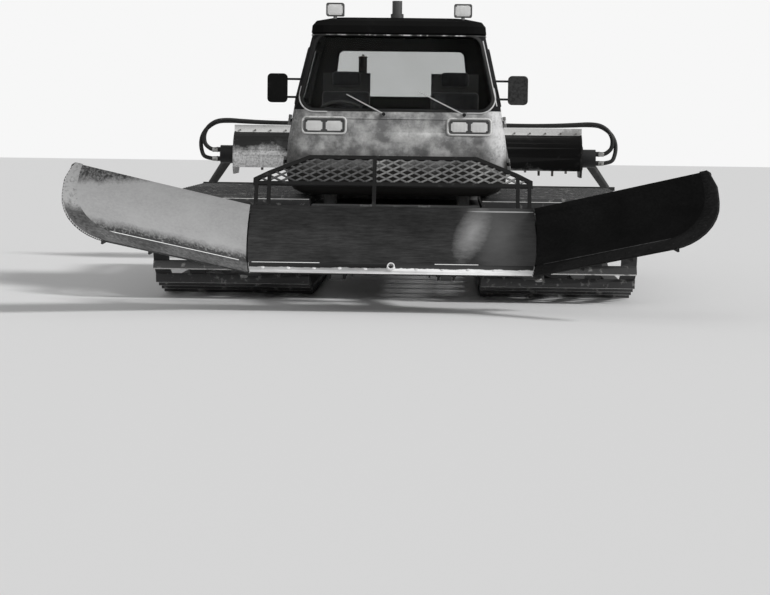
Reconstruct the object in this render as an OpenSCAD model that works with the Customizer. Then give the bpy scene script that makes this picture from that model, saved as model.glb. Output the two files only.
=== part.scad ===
/* [Tracks] */
// Width of one track over its crossbars
track_w = 1280; // [1100:10:1500]
// Distance from the centre plane to the inner side of a track
track_in = 720; // [720:10:860]
// Radius of the front idler and of the drive sprocket
idler_r = 290; // [270:5:300]
// Radius of a road wheel
wheel_r = 250; // [230:5:260]
// Distance between neighbouring road wheels
wheel_pitch = 575; // [560:5:590]
// Number of road wheels on one side
wheel_count = 5; // [5:1:5]
// Distance of the idler and the sprocket from the middle
idler_y = 1680; // [1670:10:1760]
// Height of the idler and sprocket centres
idler_z = 490; // [460:5:520]
// Width of a road wheel's tyre
tyre_w = 200; // [150:5:220]
// Number of rubber belts in one track
belt_count = 5; // [4:1:6]
// Width of one belt
belt_w = 130; // [100:5:160]
// Thickness of one belt
belt_t = 14; // [12:1:18]
// Number of crossbars on one track
shoe_count = 46; // [40:1:50]
// Height of a crossbar above its belts
shoe_h = 70; // [50:5:80]
// Foot width of a crossbar
shoe_w = 66; // [50:2:80]
// Teeth on the drive sprocket
tooth_count = 10; // [10:1:10]

/* [Chassis] */
// Distance of a frame rail's middle from the centre plane
rail_x = 430; // [400:10:460]
// Width of a frame rail
rail_w = 144; // [100:2:160]
// Height of the underside of the rails
rail_z = 380; // [380:5:400]
// Height of a frame rail
rail_h = 320; // [300:10:340]
// Front end of the rails
frame_front = 1860; // [1840:10:1900]
// Rear end of the rails
frame_rear = 1880; // [1840:10:1900]
// Diameter of an axle tube
axle_d = 90; // [80:2:92]
// Width of the deck above the rails
deck_w = 1400; // [1200:20:1400]
// Thickness of the deck frame
deck_h = 100; // [80:5:110]

/* [Cab] */
// Height of the cab's underside
cab_z = 880; // [870:5:900]
// Wall thickness of the cab and its doors
cab_wall = 45; // [35:1:55]
// Radius of the cab's front corners
cab_front_r = 150; // [100:5:160]
// Radius of the cab's rear corners
cab_rear_r = 80; // [70:5:120]
// Gap around a door
door_gap = 8; // [7:1:10]
// Thickness of the window glass
glass_t = 6; // [4:1:8]
// Width of one headlamp recess
headlamp_w = 330; // [260:10:360]
// Height of one headlamp recess
headlamp_h = 106; // [80:2:120]
// Distance of a headlamp's middle from the centre plane
headlamp_x = 603; // [560:5:620]
// Height of the headlamps' middle
headlamp_z = 1456; // [1430:2:1480]
// Width of a mirror
mirror_w = 166; // [140:2:200]
// Height of a mirror
mirror_h = 242; // [200:2:280]

/* [Blade] */
// Width of the blade's middle section, from wing hinge to wing hinge
blade_w = 2310; // [2000:10:2400]
// Height of the mouldboard along its chord
blade_h = 560; // [500:10:600]
// Radius of the mouldboard's hollow face
blade_r = 480; // [440:10:600]
// Thickness of the mouldboard plate
blade_t = 12; // [8:1:16]
// Length of one wing
wing_len = 1620; // [1400:20:1700]
// Radius of the wing's lower outer corner
wing_r = 330; // [250:10:360]
// Angle that the blade leans back as it stands
blade_lean = 22; // [18:1:24]
// Angle that each wing stands forward
wing_angle = 35; // [30:1:38]
// Height of the cutting strip
strip_h = 100; // [80:5:120]
// Height of the guard's top bar above the blade's lower edge
guard_top = 990; // [900:10:1020]
// Width of one diamond of the guard's mesh
diamond_w = 110; // [90:2:140]
// Height of one diamond of the guard's mesh
diamond_h = 56; // [50:2:70]

/* [Tiller] */
// Width of the tiller's hood
hood_w = 3640; // [3400:20:3700]
// Thickness of the hood plate
hood_t = 10; // [8:1:14]
// Radius of the cutter drum's tube
drum_r = 110; // [90:5:130]
// Radius at the tips of the cutter teeth
tooth_r = 190; // [170:5:200]
// Width of the smoothing bar
comb_w = 4460; // [4100:20:4500]
// Diameter of a hydraulic hose
hose_d = 44; // [36:2:50]

/* [Hidden] */

$fn = 48;
// Radial clearance of a pin in its bore, and of a rod in its barrel
fit = 0.08;
// Gap between fixed pieces that lie against each other
seat = 0.3;
// Side gap between moving pieces at a pivot
side_gap = 5;

// Outlines and placing

// Draws a side outline, y to the right and z up, w wide and centred on x
module across(w) {
    rotate([90, 0, 90]) translate([0, 0, -w / 2]) linear_extrude(w) children();
}

// Draws a front outline, x to the right and z up, from y = 0 rearward over t
module upright(t) {
    translate([0, t, 0]) rotate([90, 0, 0]) linear_extrude(t) children();
}

module both_sides() {
    children();
    mirror([1, 0, 0]) children();
}

// A round bar along x, centred
module bar_x(d, w) {
    rotate([0, 90, 0]) cylinder(d = d, h = w, center = true);
}

// A round bar along y from the origin rearward
module bar_y(d, len) {
    rotate([-90, 0, 0]) cylinder(d = d, h = len);
}

function unit(v) = v / norm(v);

// One rounded corner at p between the points a and b, in n steps
function corner(a, p, b, r, n) = let(
        u = unit(a - p),
        v = unit(b - p),
        h = acos(u * v) / 2,
        c = p + unit(u + v) * r / sin(h),
        from = p + u * r / tan(h) - c,
        to = p + v * r / tan(h) - c,
        start = atan2(from.y, from.x),
        turn = atan2(from.x * to.y - from.y * to.x, from * to)
    ) [for (k = [0:n]) c + r * [cos(start + turn * k / n), sin(start + turn * k / n)]];

// An outline with every corner rounded by r
function rounded(pts, r, n = 5) = let(m = len(pts))
    [for (i = [0:m - 1]) each corner(pts[(i + m - 1) % m], pts[i], pts[(i + 1) % m], r, n)];

// The outline of a box w by h around the origin with corners of radius r
function rounded_box(w, h, r, n = 5) =
    rounded([[-w / 2, -h / 2], [w / 2, -h / 2], [w / 2, h / 2], [-w / 2, h / 2]], r, n);

// Straight interpolation in a table whose first column is the height
function at_height(rows, z, col, i = 0) =
    i >= len(rows) - 2 || z < rows[i + 1][0]
        ? rows[i][col] + (rows[i + 1][col] - rows[i][col]) * (z - rows[i][0]) / (rows[i + 1][0] - rows[i][0])
        : at_height(rows, z, col, i + 1);

// Tracks

track_x = track_in + track_w / 2;
belt_pitch = (track_w - belt_w) / (belt_count - 1);
wheel_z = shoe_h + belt_t + wheel_r;
last_wheel_y = wheel_pitch * (wheel_count - 1) / 2;
wheel_rows = [for (i = [0:wheel_count - 1]) i * wheel_pitch - last_wheel_y];

// The four turning points of a track, from the front idler under the wheels to the sprocket: y, z, radius
TURNS = [
    [-idler_y, idler_z, idler_r],
    [-last_wheel_y, wheel_z, wheel_r],
    [last_wheel_y, wheel_z, wheel_r],
    [idler_y, idler_z, idler_r]
];

// Outward direction of the straight run that leaves turning point i
function run_normal(i) = let(a = TURNS[i % 4], b = TURNS[(i + 1) % 4], d = [b.x - a.x, b.y - a.y])
    atan2(d.y, d.x) - acos((a.z - b.z) / norm(d));

function run_length(i) = let(a = TURNS[i % 4], b = TURNS[(i + 1) % 4])
    sqrt(pow(b.x - a.x, 2) + pow(b.y - a.y, 2) - pow(a.z - b.z, 2));

// Angle that the track bends through at turning point i
function bend(i) = let(a = run_normal(i) - run_normal(i + 3)) a - 360 * floor(a / 360);

function bend_length(i) = bend(i) * PI / 180 * (TURNS[i % 4].z + belt_t / 2);

// Point at turning point i, out from the wheel's face by e, and a share t of the bend: y, z, outward direction
function bend_point(i, e, t) = let(hub = TURNS[i % 4], a = run_normal(i + 3) + bend(i) * t)
    [hub.x + (hub.z + e) * cos(a), hub.y + (hub.z + e) * sin(a), a];

// Largest angle between neighbouring points of the loop's outline
loop_step = 14;

// Side outline of the track at a distance e out from the wheels' faces
function loop_outline(e) = [for (i = [0:3], k = [0:ceil(bend(i) / loop_step)])
    let(p = bend_point(i, e, k / ceil(bend(i) / loop_step))) [p.x, p.y]];

loop_length = bend_length(0) + bend_length(1) + bend_length(2) + bend_length(3)
    + run_length(0) + run_length(1) + run_length(2) + run_length(3);

// Place of a crossbar's foot at a way s along the track: y, z, outward direction
function loop_at(s, e, i = 0) =
    s < bend_length(i) ? bend_point(i, e, s / bend_length(i))
    : s < bend_length(i) + run_length(i)
        ? let(p = bend_point(i, e, 1), way = s - bend_length(i))
            [p.x - way * sin(p.z), p.y + way * cos(p.z), p.z]
    : loop_at(s - bend_length(i) - run_length(i), e, i + 1);

// Way along the track to the rearmost point of the sprocket, where one crossbar lies
shoe_start = bend_length(0) + run_length(0) + bend_length(1) + run_length(1) + bend_length(2) + run_length(2)
    + bend_length(3) * (360 - run_normal(2) - 360 * floor((360 - run_normal(2)) / 360)) / bend(3);

function shoe_way(i) = let(s = shoe_start + i * loop_length / shoe_count)
    s - loop_length * floor(s / loop_length);

shoe_sink = 4;
shoe_top_w = 12;
shoe_foot_h = 12;

module track() {
    color("#1d1e1f") difference() {
        for (i = [0:belt_count - 1])
            translate([(i - (belt_count - 1) / 2) * belt_pitch, 0, 0]) across(belt_w) polygon(loop_outline(belt_t));
        across(track_w + 20) polygon(loop_outline(0));
    }
    color("#b9bcbd") for (i = [0:shoe_count - 1])
        let(p = loop_at(shoe_way(i), belt_t))
            translate([0, p.x, p.y]) rotate([p.z - 90, 0, 0]) across(track_w) polygon([
                [-shoe_w / 2, -shoe_sink], [shoe_w / 2, -shoe_sink], [shoe_w / 2, shoe_foot_h],
                [shoe_top_w / 2, shoe_h], [-shoe_top_w / 2, shoe_h], [-shoe_w / 2, shoe_foot_h]
            ]);
}

module track_left() {
    translate([-track_x, 0, 0]) track();
}

module track_right() {
    translate([track_x, 0, 0]) track();
}

// Running gear

rim_share = 0.6;
wheel_bore_d = 60;

// A tyre that lies just inside the flats of the belts' outline
module tyre(r) {
    rim_r = r * rim_share;
    tread_r = r * cos(loop_step / 2) - seat;
    rotate([0, 90, 0]) rotate_extrude($fn = 64) polygon([
        [rim_r, -tyre_w / 2 + 22], [r - 45, -tyre_w / 2], [r - 12, -tyre_w / 2 + 12], [tread_r, -tyre_w / 2 + 36],
        [tread_r, tyre_w / 2 - 36], [r - 12, tyre_w / 2 - 12], [r - 45, tyre_w / 2], [rim_r, tyre_w / 2 - 22]
    ]);
}

// A dished rim with a hub that the spindle enters
module rim(r) {
    rim_r = r * rim_share - seat;
    half = tyre_w / 2 - 22;
    difference() {
        rotate([0, 90, 0]) rotate_extrude($fn = 64) polygon([
            [wheel_bore_d / 2, -half - 20], [wheel_bore_d / 2 + 30, -half - 20], [wheel_bore_d / 2 + 30, -10],
            [rim_r - 12, 0], [rim_r - 12, -half], [rim_r, -half], [rim_r, half],
            [rim_r - 12, half], [rim_r - 12, 12], [wheel_bore_d / 2 + 30, 4], [wheel_bore_d / 2, 4]
        ]);
        for (a = [0:72:288]) rotate([a, 0, 0]) translate([0, r * 0.42, 0]) bar_x(34, tyre_w);
    }
}

// Every ground wheel and idler of one side: y, z, radius
WHEELS = concat([for (y = wheel_rows) [y, wheel_z, wheel_r]], [TURNS[0]]);

module road_tyres() {
    color("#202122") both_sides() for (w = WHEELS) translate([track_x, w.x, w.y]) tyre(w.z);
}

module road_rims() {
    color("#8a8d8f") both_sides() for (w = WHEELS) translate([track_x, w.x, w.y]) rim(w.z);
}

spindle_len = tyre_w / 2 + 20;
axle_end_x = track_x - tyre_w / 2 - 6;

module axle_tubes() {
    color("#3c3f41") for (w = WHEELS) translate([0, w.x, w.y]) {
        bar_x(axle_d, 2 * axle_end_x);
        bar_x(wheel_bore_d - 2 * fit, 2 * (axle_end_x + spindle_len - 20));
        both_sides() translate([axle_end_x - 15, 0, 0]) bar_x(axle_d + 40, 14);
        if (w.y == wheel_z)
            both_sides() translate([rail_x - rail_w / 2, -axle_d / 2, 0]) cube([rail_w, axle_d, rail_z - wheel_z]);
    }
}

sprocket_hub_r = 120;
sprocket_plate_t = 40;
sprocket_root_r = idler_r - 30;
sprocket_tip_r = idler_r + 18;
sprocket_in = track_x - belt_pitch / 2 - 60;
sprocket_out = track_x + belt_pitch / 2 + 60;

// Toothed outline: each tooth lies between two crossbars
function sprocket_outline() = [for (i = [0:tooth_count - 1], c = [[-11, 0], [-5, 1], [5, 1], [11, 0]])
    let(a = 360 / tooth_count * (i + 0.5) + c[0], r = c[1] == 1 ? sprocket_tip_r : sprocket_root_r)
        [r * cos(a), r * sin(a)]];

module sprockets() {
    color("#55585a") both_sides() translate([0, idler_y, idler_z]) difference() {
        union() {
            translate([(sprocket_in + sprocket_out) / 2, 0, 0])
                bar_x(2 * sprocket_hub_r, sprocket_out - sprocket_in);
            for (s = [-1, 1]) translate([track_x + s * belt_pitch / 2, 0, 0])
                across(sprocket_plate_t) polygon(sprocket_outline());
        }
        for (a = [0:60:300]) rotate([a, 0, 0]) translate([track_x, 0, 190]) bar_x(70, 600);
        translate([sprocket_out, 0, 0]) bar_x(150, 100);
    }
}

drive_tube_d = 170;
drive_flange_d = 280;

module final_drives() {
    color("#3c3f41") both_sides() translate([0, idler_y, idler_z]) {
        rail_out = rail_x + rail_w / 2;
        translate([(rail_out + sprocket_in - seat) / 2, 0, 0]) bar_x(drive_tube_d, sprocket_in - seat - rail_out);
        translate([rail_out + 20, 0, 0]) bar_x(drive_flange_d, 40);
        translate([sprocket_in - 60, 0, 0]) bar_x(drive_flange_d - 30, 90);
    }
}

// Chassis

rail_top = rail_z + rail_h;
deck_top = rail_top + deck_h;
cross_w = 110;
belly_t = 10;
// Middle of each cross member
CROSS_ROWS = [-frame_front + cross_w / 2, -1000, 0, 1000, frame_rear - cross_w / 2];

// Front pivots of the blade's lift frame, and the upper pins of its rams
lift_pin = [-1950, 470];
lift_ram_pin = [-1930, 765];
arm_w = 90;
arm_x = 430;
lift_ram_x = 240;
pin_d = 50;
ram_pin_d = 40;
lug_t = 20;
// Diameters of a ram's barrel and rod
ram_d = 84;
rod_d = 44;

// Rear pivots of the tiller's arms and links, and of its rams
rear_pin = [1960, 480];
link_rise = 250;
rear_arm_x = 400;
rear_link_x = 230;
rear_ram_x = 100;
rear_ram_w = ram_d + 2 * side_gap;
rear_ram_pin = [1770, 1000];

// A pair of upright lugs around the middle x, w apart inside, from the base outline to the eye
module lug_pair(x, w, base, eye, d) {
    for (s = [-1, 1]) translate([x + s * (w + lug_t) / 2, 0, 0]) across(lug_t) polygon(lug_outline(base, eye, d / 2));
}

// Outline of a lug in y and z: a base whose second point lies clockwise of the way to the eye, and a round eye
function lug_outline(base, eye, r) = let(
        mid = (base[0] + base[1]) / 2,
        a = atan2(eye.y - mid.y, eye.x - mid.x)
    ) concat([base[0], base[1]], [for (k = [-4:4]) eye + r * [cos(a + k * 22.5), sin(a + k * 22.5)]]);

module chassis_frame() {
    color("#2b2d2f") {
        difference() {
            both_sides() translate([rail_x - rail_w / 2, -frame_front, rail_z])
                cube([rail_w, frame_front + frame_rear, rail_h]);
            translate([0, -idler_y, idler_z]) bar_x(axle_d + 2 * seat, 4 * rail_x);
        }
        inner = rail_x - rail_w / 2 + 1;
        for (y = CROSS_ROWS) translate([-inner, y - cross_w / 2, rail_z + 20])
            cube([2 * inner, cross_w, rail_h - 20]);
        translate([-inner, -frame_front, rail_z]) cube([2 * inner, frame_front + frame_rear, belly_t]);
        both_sides() {
            lug_pair(arm_x, arm_w + 2 * side_gap, [[-frame_front + 6, 396], [-frame_front + 6, 600]], lift_pin, 120);
            translate([arm_x, lift_pin.x, lift_pin.y]) bar_x(pin_d, arm_w + 2 * side_gap + 4 * lug_t);
            lug_pair(lift_ram_x, 60, [[-frame_front + 6, 680], [-frame_front + 6, 790]], lift_ram_pin, 90);
            translate([lift_ram_x, lift_ram_pin.x, lift_ram_pin.y]) bar_x(ram_pin_d, 60 + 3 * lug_t);
            lug_pair(rear_arm_x, 80 + 2 * side_gap, [[frame_rear - 6, 575], [frame_rear - 6, 412]], rear_pin, 120);
            translate([rear_arm_x, rear_pin.x, rear_pin.y]) bar_x(pin_d, 80 + 2 * side_gap + 3 * lug_t);
            lug_pair(rear_link_x, 50 + 2 * side_gap, [[frame_rear - 70, rail_top - 6], [frame_rear - 6, 610]],
                rear_pin + [0, link_rise], 100);
            translate([rear_link_x, rear_pin.x, rear_pin.y + link_rise])
                bar_x(ram_pin_d, 50 + 2 * side_gap + 3 * lug_t);
        }
        both_sides() {
            lug_pair(rear_ram_x, rear_ram_w, [[frame_rear - cross_w + 6, rail_top - 20], [frame_rear - 6, rail_top - 20]],
                rear_ram_pin, 90);
            translate([rear_ram_x, rear_ram_pin.x, rear_ram_pin.y]) bar_x(ram_pin_d, rear_ram_w + 2 * lug_t + 8);
        }
        translate([-rail_x, -frame_front, rail_top - 1]) cube([2 * rail_x, 40, 101]);
    }
}

deck_front = frame_front - 45;
deck_rear = frame_rear - cross_w - 40;

module deck_frame() {
    color("#2b2d2f") difference() {
        translate([-deck_w / 2, -deck_front, rail_top]) cube([deck_w, deck_front + deck_rear, deck_h]);
        for (y = [-deck_front + 60:600:deck_rear - 600], s = [-1, 1])
            translate([s * (deck_w / 4 + 20) - (deck_w / 2 - 120) / 2, y, rail_top - 1])
                cube([deck_w / 2 - 120, 540, deck_h - 10]);
    }
}

// Cab

cab_top = 2235;
// The cab's outer form: height, half width, front y, rear y
CAB = [
    [cab_z, 780, -1700, -330],
    [cab_z + 40, 862, -1765, -280],
    [cab_z + 120, 915, -1792, -255],
    [cab_z + 220, 927, -1800, -250],
    [1341, 910, -1796, -250],
    [1617, 864, -1752, -254],
    [cab_top, 727, -1538, -290]
];
roof_gap = 0.5 + seat;
// The roof's outer form: height, half width, front y, rear y
ROOF = [
    [cab_top + roof_gap, 738, -1560, -276],
    [cab_top + 60, 732, -1546, -280],
    [cab_top + 102, 700, -1505, -305],
    [cab_top + 134, 560, -1370, -440],
    [cab_top + 148, 260, -1080, -730]
];

// Plan outline with the front corners and the rear corners rounded
function plan(hw, front, rear, rf, rr) = concat(
    corner([-hw, rear], [-hw, front], [hw, front], rf, 5),
    corner([-hw, front], [hw, front], [hw, rear], rf, 5),
    corner([hw, front], [hw, rear], [-hw, rear], rr, 4),
    corner([hw, rear], [-hw, rear], [-hw, front], rr, 4)
);

// A closed form lofted through the rows of a table, drawn in by e all round
module loft(rows, e) {
    hull() for (r = rows) translate([0, 0, r[0]]) linear_extrude(0.5)
        polygon(plan(r[1] - e, r[2] + e, r[3] - e, cab_front_r - e, cab_rear_r - e));
}

// The cab's form drawn in by e, open at the top when e is more than 0
module cab_form(e) {
    top = len(CAB) - 1;
    rise = e > 0 ? 40 : 0;
    over = [for (c = [1:3]) CAB[top][c] + (CAB[top][c] - CAB[top - 1][c]) * rise / (CAB[top][0] - CAB[top - 1][0])];
    loft(concat(
        [for (r = CAB) [r[0] + (r[0] < cab_z + 200 ? e : 0), r[1], r[2], r[3]]],
        rise > 0 ? [[cab_top + rise, over[0], over[1], over[2]]] : []
    ), e);
}

module cab_wall_band(out, in) {
    difference() {
        cab_form(out);
        cab_form(in);
    }
}

// Door opening, y and z
door_outline = rounded([[-1632, 962], [-690, 962], [-706, 2172], [-1398, 2172], [-1588, 1625], [-1632, 1345]], 60);
// Door panel, inside the opening by the gap
door_panel = rounded([
    [-1632 + door_gap, 962 + door_gap], [-690 - door_gap, 962 + door_gap], [-706 - door_gap, 2172 - door_gap],
    [-1398 + door_gap * 0.6, 2172 - door_gap], [-1588 + door_gap, 1625], [-1632 + door_gap, 1345]
], 60 - door_gap);
// Door window, and the fixed window behind the door
door_window = rounded([[-1545, 1640], [-770, 1640], [-778, 2100], [-1395, 2100]], 45);
quarter_window = rounded([[-610, 1640], [-360, 1640], [-380, 2100], [-620, 2100]], 45);
// Windscreen and rear window, x and z
screen_outline = rounded([[-808, 1602], [808, 1602], [672, 2206], [-672, 2206]], 95);
rear_outline = rounded([[-600, 1716], [600, 1716], [555, 2120], [-555, 2120]], 50);

module side_cut(outline, side) {
    translate([side * 750, 0, 0]) across(700) polygon(outline);
}

module headlamp_recess(grow, depth) {
    both_sides() translate([headlamp_x, -1830, headlamp_z])
        upright(depth) polygon(rounded_box(headlamp_w + grow, headlamp_h + grow, 18));
}

module cab_shell() {
    color("#8f8e8b") difference() {
        cab_wall_band(0, cab_wall);
        for (s = [-1, 1]) {
            side_cut(door_outline, s);
            side_cut(quarter_window, s);
        }
        translate([0, -1900, 0]) upright(500) polygon(screen_outline);
        translate([0, -600, 0]) upright(500) polygon(rear_outline);
        headlamp_recess(0, 120);
    }
}

module cab_roof() {
    color("#141516") difference() {
        loft(ROOF, 0);
        translate([0, 0, -cab_wall]) loft(ROOF, cab_wall);
        translate([-900, -1800, cab_top - 100]) cube([1800, 1700, 100 + roof_gap]);
    }
}

// Glass lies in the middle of the wall, clear of the edge of its opening
module glass(out) {
    color("#2a3236") cab_wall_band(out, out + glass_t);
}

module windscreen() {
    intersection() {
        glass(10);
        translate([0, -1900, 0]) upright(500)
            polygon(rounded([[-808 + seat, 1602 + seat], [808 - seat, 1602 + seat], [672 - seat, 2206 - seat],
                [-672 + seat, 2206 - seat]], 95));
    }
}

module cab_windows() {
    intersection() {
        glass(14);
        union() {
            translate([0, -600, 0]) upright(500)
                polygon(rounded([[-600 + seat, 1716 + seat], [600 - seat, 1716 + seat], [555 - seat, 2120 - seat],
                    [-555 + seat, 2120 - seat]], 50));
            for (s = [-1, 1]) side_cut(rounded([[-610 + seat, 1640 + seat], [-360 - seat, 1640 + seat],
                [-380 - seat, 2100 - seat], [-620 + seat, 2100 - seat]], 45), s);
        }
    }
}

// Height of the two door hinges, their pin and barrel, and the pin line's distance outside the skin
HINGE_Z = [1150, 1500];
hinge_d = 24;
hinge_pin_d = 12;
hinge_out = 17;
hinge_len = 90;
hinge_y = -1640;
hinge_x = [for (z = HINGE_Z) at_height(CAB, z, 1) + hinge_out];
hinge_lean = atan2(hinge_x[1] - hinge_x[0], HINGE_Z[1] - HINGE_Z[0]);

// Places its children at each hinge, with z along the tilted pin line
module at_hinges() {
    for (i = [0:1]) translate([hinge_x[i], hinge_y, HINGE_Z[i]]) rotate([0, hinge_lean, 0]) children();
}

// The hinge halves on the cab: the outer thirds of the barrel with the pin
module hinge_posts(side) {
    mirror([side < 0 ? 1 : 0, 0, 0]) color("#55585a") at_hinges() {
        cylinder(d = hinge_pin_d, h = hinge_len, center = true);
        for (s = [-1, 1]) translate([0, 0, s * hinge_len / 3]) {
            cylinder(d = hinge_d, h = hinge_len / 3 - 2, center = true);
            translate([-hinge_out, -26, -hinge_len / 6 + 1]) cube([hinge_out, 26, hinge_len / 3 - 2]);
        }
    }
}

module door(side) {
    mirror([side < 0 ? 1 : 0, 0, 0]) {
        color("#8f8e8b") difference() {
            intersection() {
                cab_wall_band(0, cab_wall);
                side_cut(door_panel, 1);
            }
            side_cut(door_window, 1);
        }
        color("#55585a") at_hinges() difference() {
            union() {
                cylinder(d = hinge_d, h = hinge_len / 3 - 2, center = true);
                translate([5 - hinge_out, 0, -hinge_len / 6 + 1]) cube([hinge_out - 5, 70, hinge_len / 3 - 2]);
                translate([-hinge_out - 8, 44, -hinge_len / 6 + 1]) cube([hinge_out, 26, hinge_len / 3 - 2]);
            }
            cylinder(d = hinge_pin_d + 2 * fit, h = hinge_len, center = true);
        }
    }
}

module door_left() {
    door(-1);
}

module door_right() {
    door(1);
}

module door_glass(side) {
    intersection() {
        glass(14);
        side_cut(rounded([[-1545 + seat, 1640 + seat], [-770 - seat, 1640 + seat], [-778 - seat, 2100 - seat],
            [-1395 + seat, 2100 - seat]], 45), side);
    }
}

module door_glass_left() {
    door_glass(-1);
}

module door_glass_right() {
    door_glass(1);
}

module cab_mounts() {
    color("#202122") for (x = [-560, 560], y = [-1500, -520])
        translate([x, y, deck_top]) cylinder(d = 110, h = cab_z - deck_top);
    difference() {
        for (s = [-1, 1]) hinge_posts(s);
        cab_form(-seat);
    }
}

module headlamps() {
    color("#d8d8d4") both_sides() translate([headlamp_x, -1792, headlamp_z]) difference() {
        upright(38) polygon(rounded_box(headlamp_w - 2 * seat, headlamp_h - 2 * seat, 18 - seat));
        for (s = [-1, 1]) translate([s * headlamp_w / 4, -1, 0])
            upright(9) polygon(rounded_box(headlamp_w / 2 - 22, headlamp_h - 22, 8));
    }
}

dash_w = 1640;
floor_z = cab_z + cab_wall + 0.5 + seat;
console_h = 290;
dash_outline = [[-1760, floor_z - 5], [-1760, 1530], [-1560, 1560], [-1440, 1500], [-1440, 1440], [-1600, 1380],
    [-1620, floor_z - 5]];

module dashboard() {
    color("#232425") {
        intersection() {
            across(dash_w) polygon(dash_outline);
            cab_form(cab_wall + seat);
        }
        translate([-110, -1440, floor_z]) cube([220, 580, console_h]);
        for (x = [-60, 0, 60]) translate([x, -1250, floor_z + console_h - 1]) cylinder(d = 16, h = 210);
        for (x = [-60, 0, 60]) translate([x, -1250, 1420]) sphere(d = 44);
    }
}

seat_x = 480;
column_foot = [-1530, 1400];
wheel_lean = 30;

module steering_wheel() {
    color("#161718") difference() {
        translate([-seat_x, column_foot.x, column_foot.y]) rotate([-wheel_lean, 0, 0])
            translate([0, 0, 60]) cylinder(d = 60, h = 131);
        across(dash_w + 2) translate([0, seat + 0.1]) polygon(dash_outline);
    }
    color("#161718") translate([-seat_x, column_foot.x, column_foot.y]) rotate([-wheel_lean, 0, 0]) {
        translate([0, 0, 190]) {
            rotate_extrude($fn = 64) translate([180, 0]) circle(d = 26);
            for (a = [90, 210, 330]) rotate([0, 0, a]) translate([0, -12, -6]) cube([176, 24, 12]);
        }
    }
}

cushion_z = 1200;
back_lean = 10;

// Front face of a seat's back frame at a height
function back_y(z) = -615 + (z - cushion_z) * tan(back_lean);

module seat_frames() {
    color("#232425") both_sides() translate([seat_x, 0, 0]) {
        translate([-200, -1080, floor_z]) cube([400, 420, cushion_z - 30 - floor_z + 1]);
        translate([-215, -1130, cushion_z - 30]) cube([430, 550, 30]);
        across(420) polygon([[back_y(cushion_z - 30), cushion_z - 30], [back_y(1920), 1920],
            [back_y(1920) + 30, 1920], [back_y(cushion_z - 30) + 30, cushion_z - 30]]);
    }
}

// Back cushion and headrest: foot height, width, height, thickness, corner radius
CUSHIONS = [[1330, 460, 440, 100, 70], [1785, 270, 150, 80, 50]];

module seat_cushions() {
    color("#1b1c1e") both_sides() translate([seat_x, 0, 0]) {
        translate([0, -890, cushion_z + seat]) linear_extrude(110) polygon(rounded_box(480, 500, 60));
        for (c = CUSHIONS) translate([0, back_y(c[0]), c[0]]) rotate([-back_lean, 0, 0])
            translate([0, -c[3] - seat, 0]) upright(c[3]) polygon([for (p = rounded_box(c[1], c[2], c[4])) p + [0, c[2] / 2]]);
    }
}

lamp_x = 540;
lamp_z = 2376;

// Cuts what stands on the roof along the roof's skin
module above_roof() {
    difference() {
        children();
        translate([0, 0, seat]) loft(ROOF, -seat);
    }
}

module roof_lamps() {
    both_sides() translate([0, -1400, 0]) {
        color("#1c1d1e") translate([0, 1400, 0]) above_roof()
            translate([lamp_x, -1400, lamp_z - 60]) cylinder(d = 30, h = 70);
        color("#c9cac8") translate([lamp_x, 0, lamp_z])
            upright(90) polygon([for (p = rounded_box(150, 108, 12)) p + [0, 56]]);
    }
}

beacon_at = [-20, -1250];

module beacon() {
    color("#1c1d1e") above_roof() translate([beacon_at.x, beacon_at.y, cab_top + 120]) cylinder(d = 110, h = 52);
    color("#a8641a") translate([beacon_at.x, beacon_at.y, cab_top + 172 - 1]) cylinder(d = 84, h = 111);
}

mirror_x = 1006;
mirror_z = 1765;
mirror_y = -1650;

module mirrors() {
    both_sides() {
        color("#17181a") translate([mirror_x, mirror_y, mirror_z])
            upright(56) polygon(rounded_box(mirror_w, mirror_h, 34));
        color("#2b2d2f") difference() {
            for (z = [mirror_z - 75, mirror_z + 75]) translate([0, mirror_y + 28, z]) {
                inner = at_height(CAB, z, 1) - 12;
                translate([(inner + mirror_x - 60) / 2, 0, 0]) bar_x(18, mirror_x - 60 - inner);
            }
            cab_form(-seat);
        }
    }
}

// Wiper: pivot and tip of each blade, x and z on the windscreen
WIPERS = [[-108, 1556, -420, 1716], [560, 1556, 184, 1742]];

function screen_y(z) = at_height(CAB, z, 2);

module wipers() {
    color("#101112") for (w = WIPERS) {
        foot = [w[0], screen_y(w[1]), w[1]];
        tip = [w[2], screen_y(w[3]), w[3]];
        difference() {
            translate(foot + [0, 12, 0]) rotate([90, 0, 0]) cylinder(d = 34, h = 44);
            cab_form(-seat);
        }
        hull() {
            translate(foot + [0, -24, 0]) sphere(d = 12, $fn = 12);
            translate(tip + [0, -18, 0]) sphere(d = 8, $fn = 12);
        }
    }
}

// Engine and load bed

housing_w = 1400;
housing_front = -210;
housing_rear = 1240;
housing_top = 1470;
housing_t = 20;
lid_t = 24;

module engine_block() {
    color("#5a5f57") translate([-330, -80, deck_top]) cube([660, 1100, 560]);
}

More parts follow.
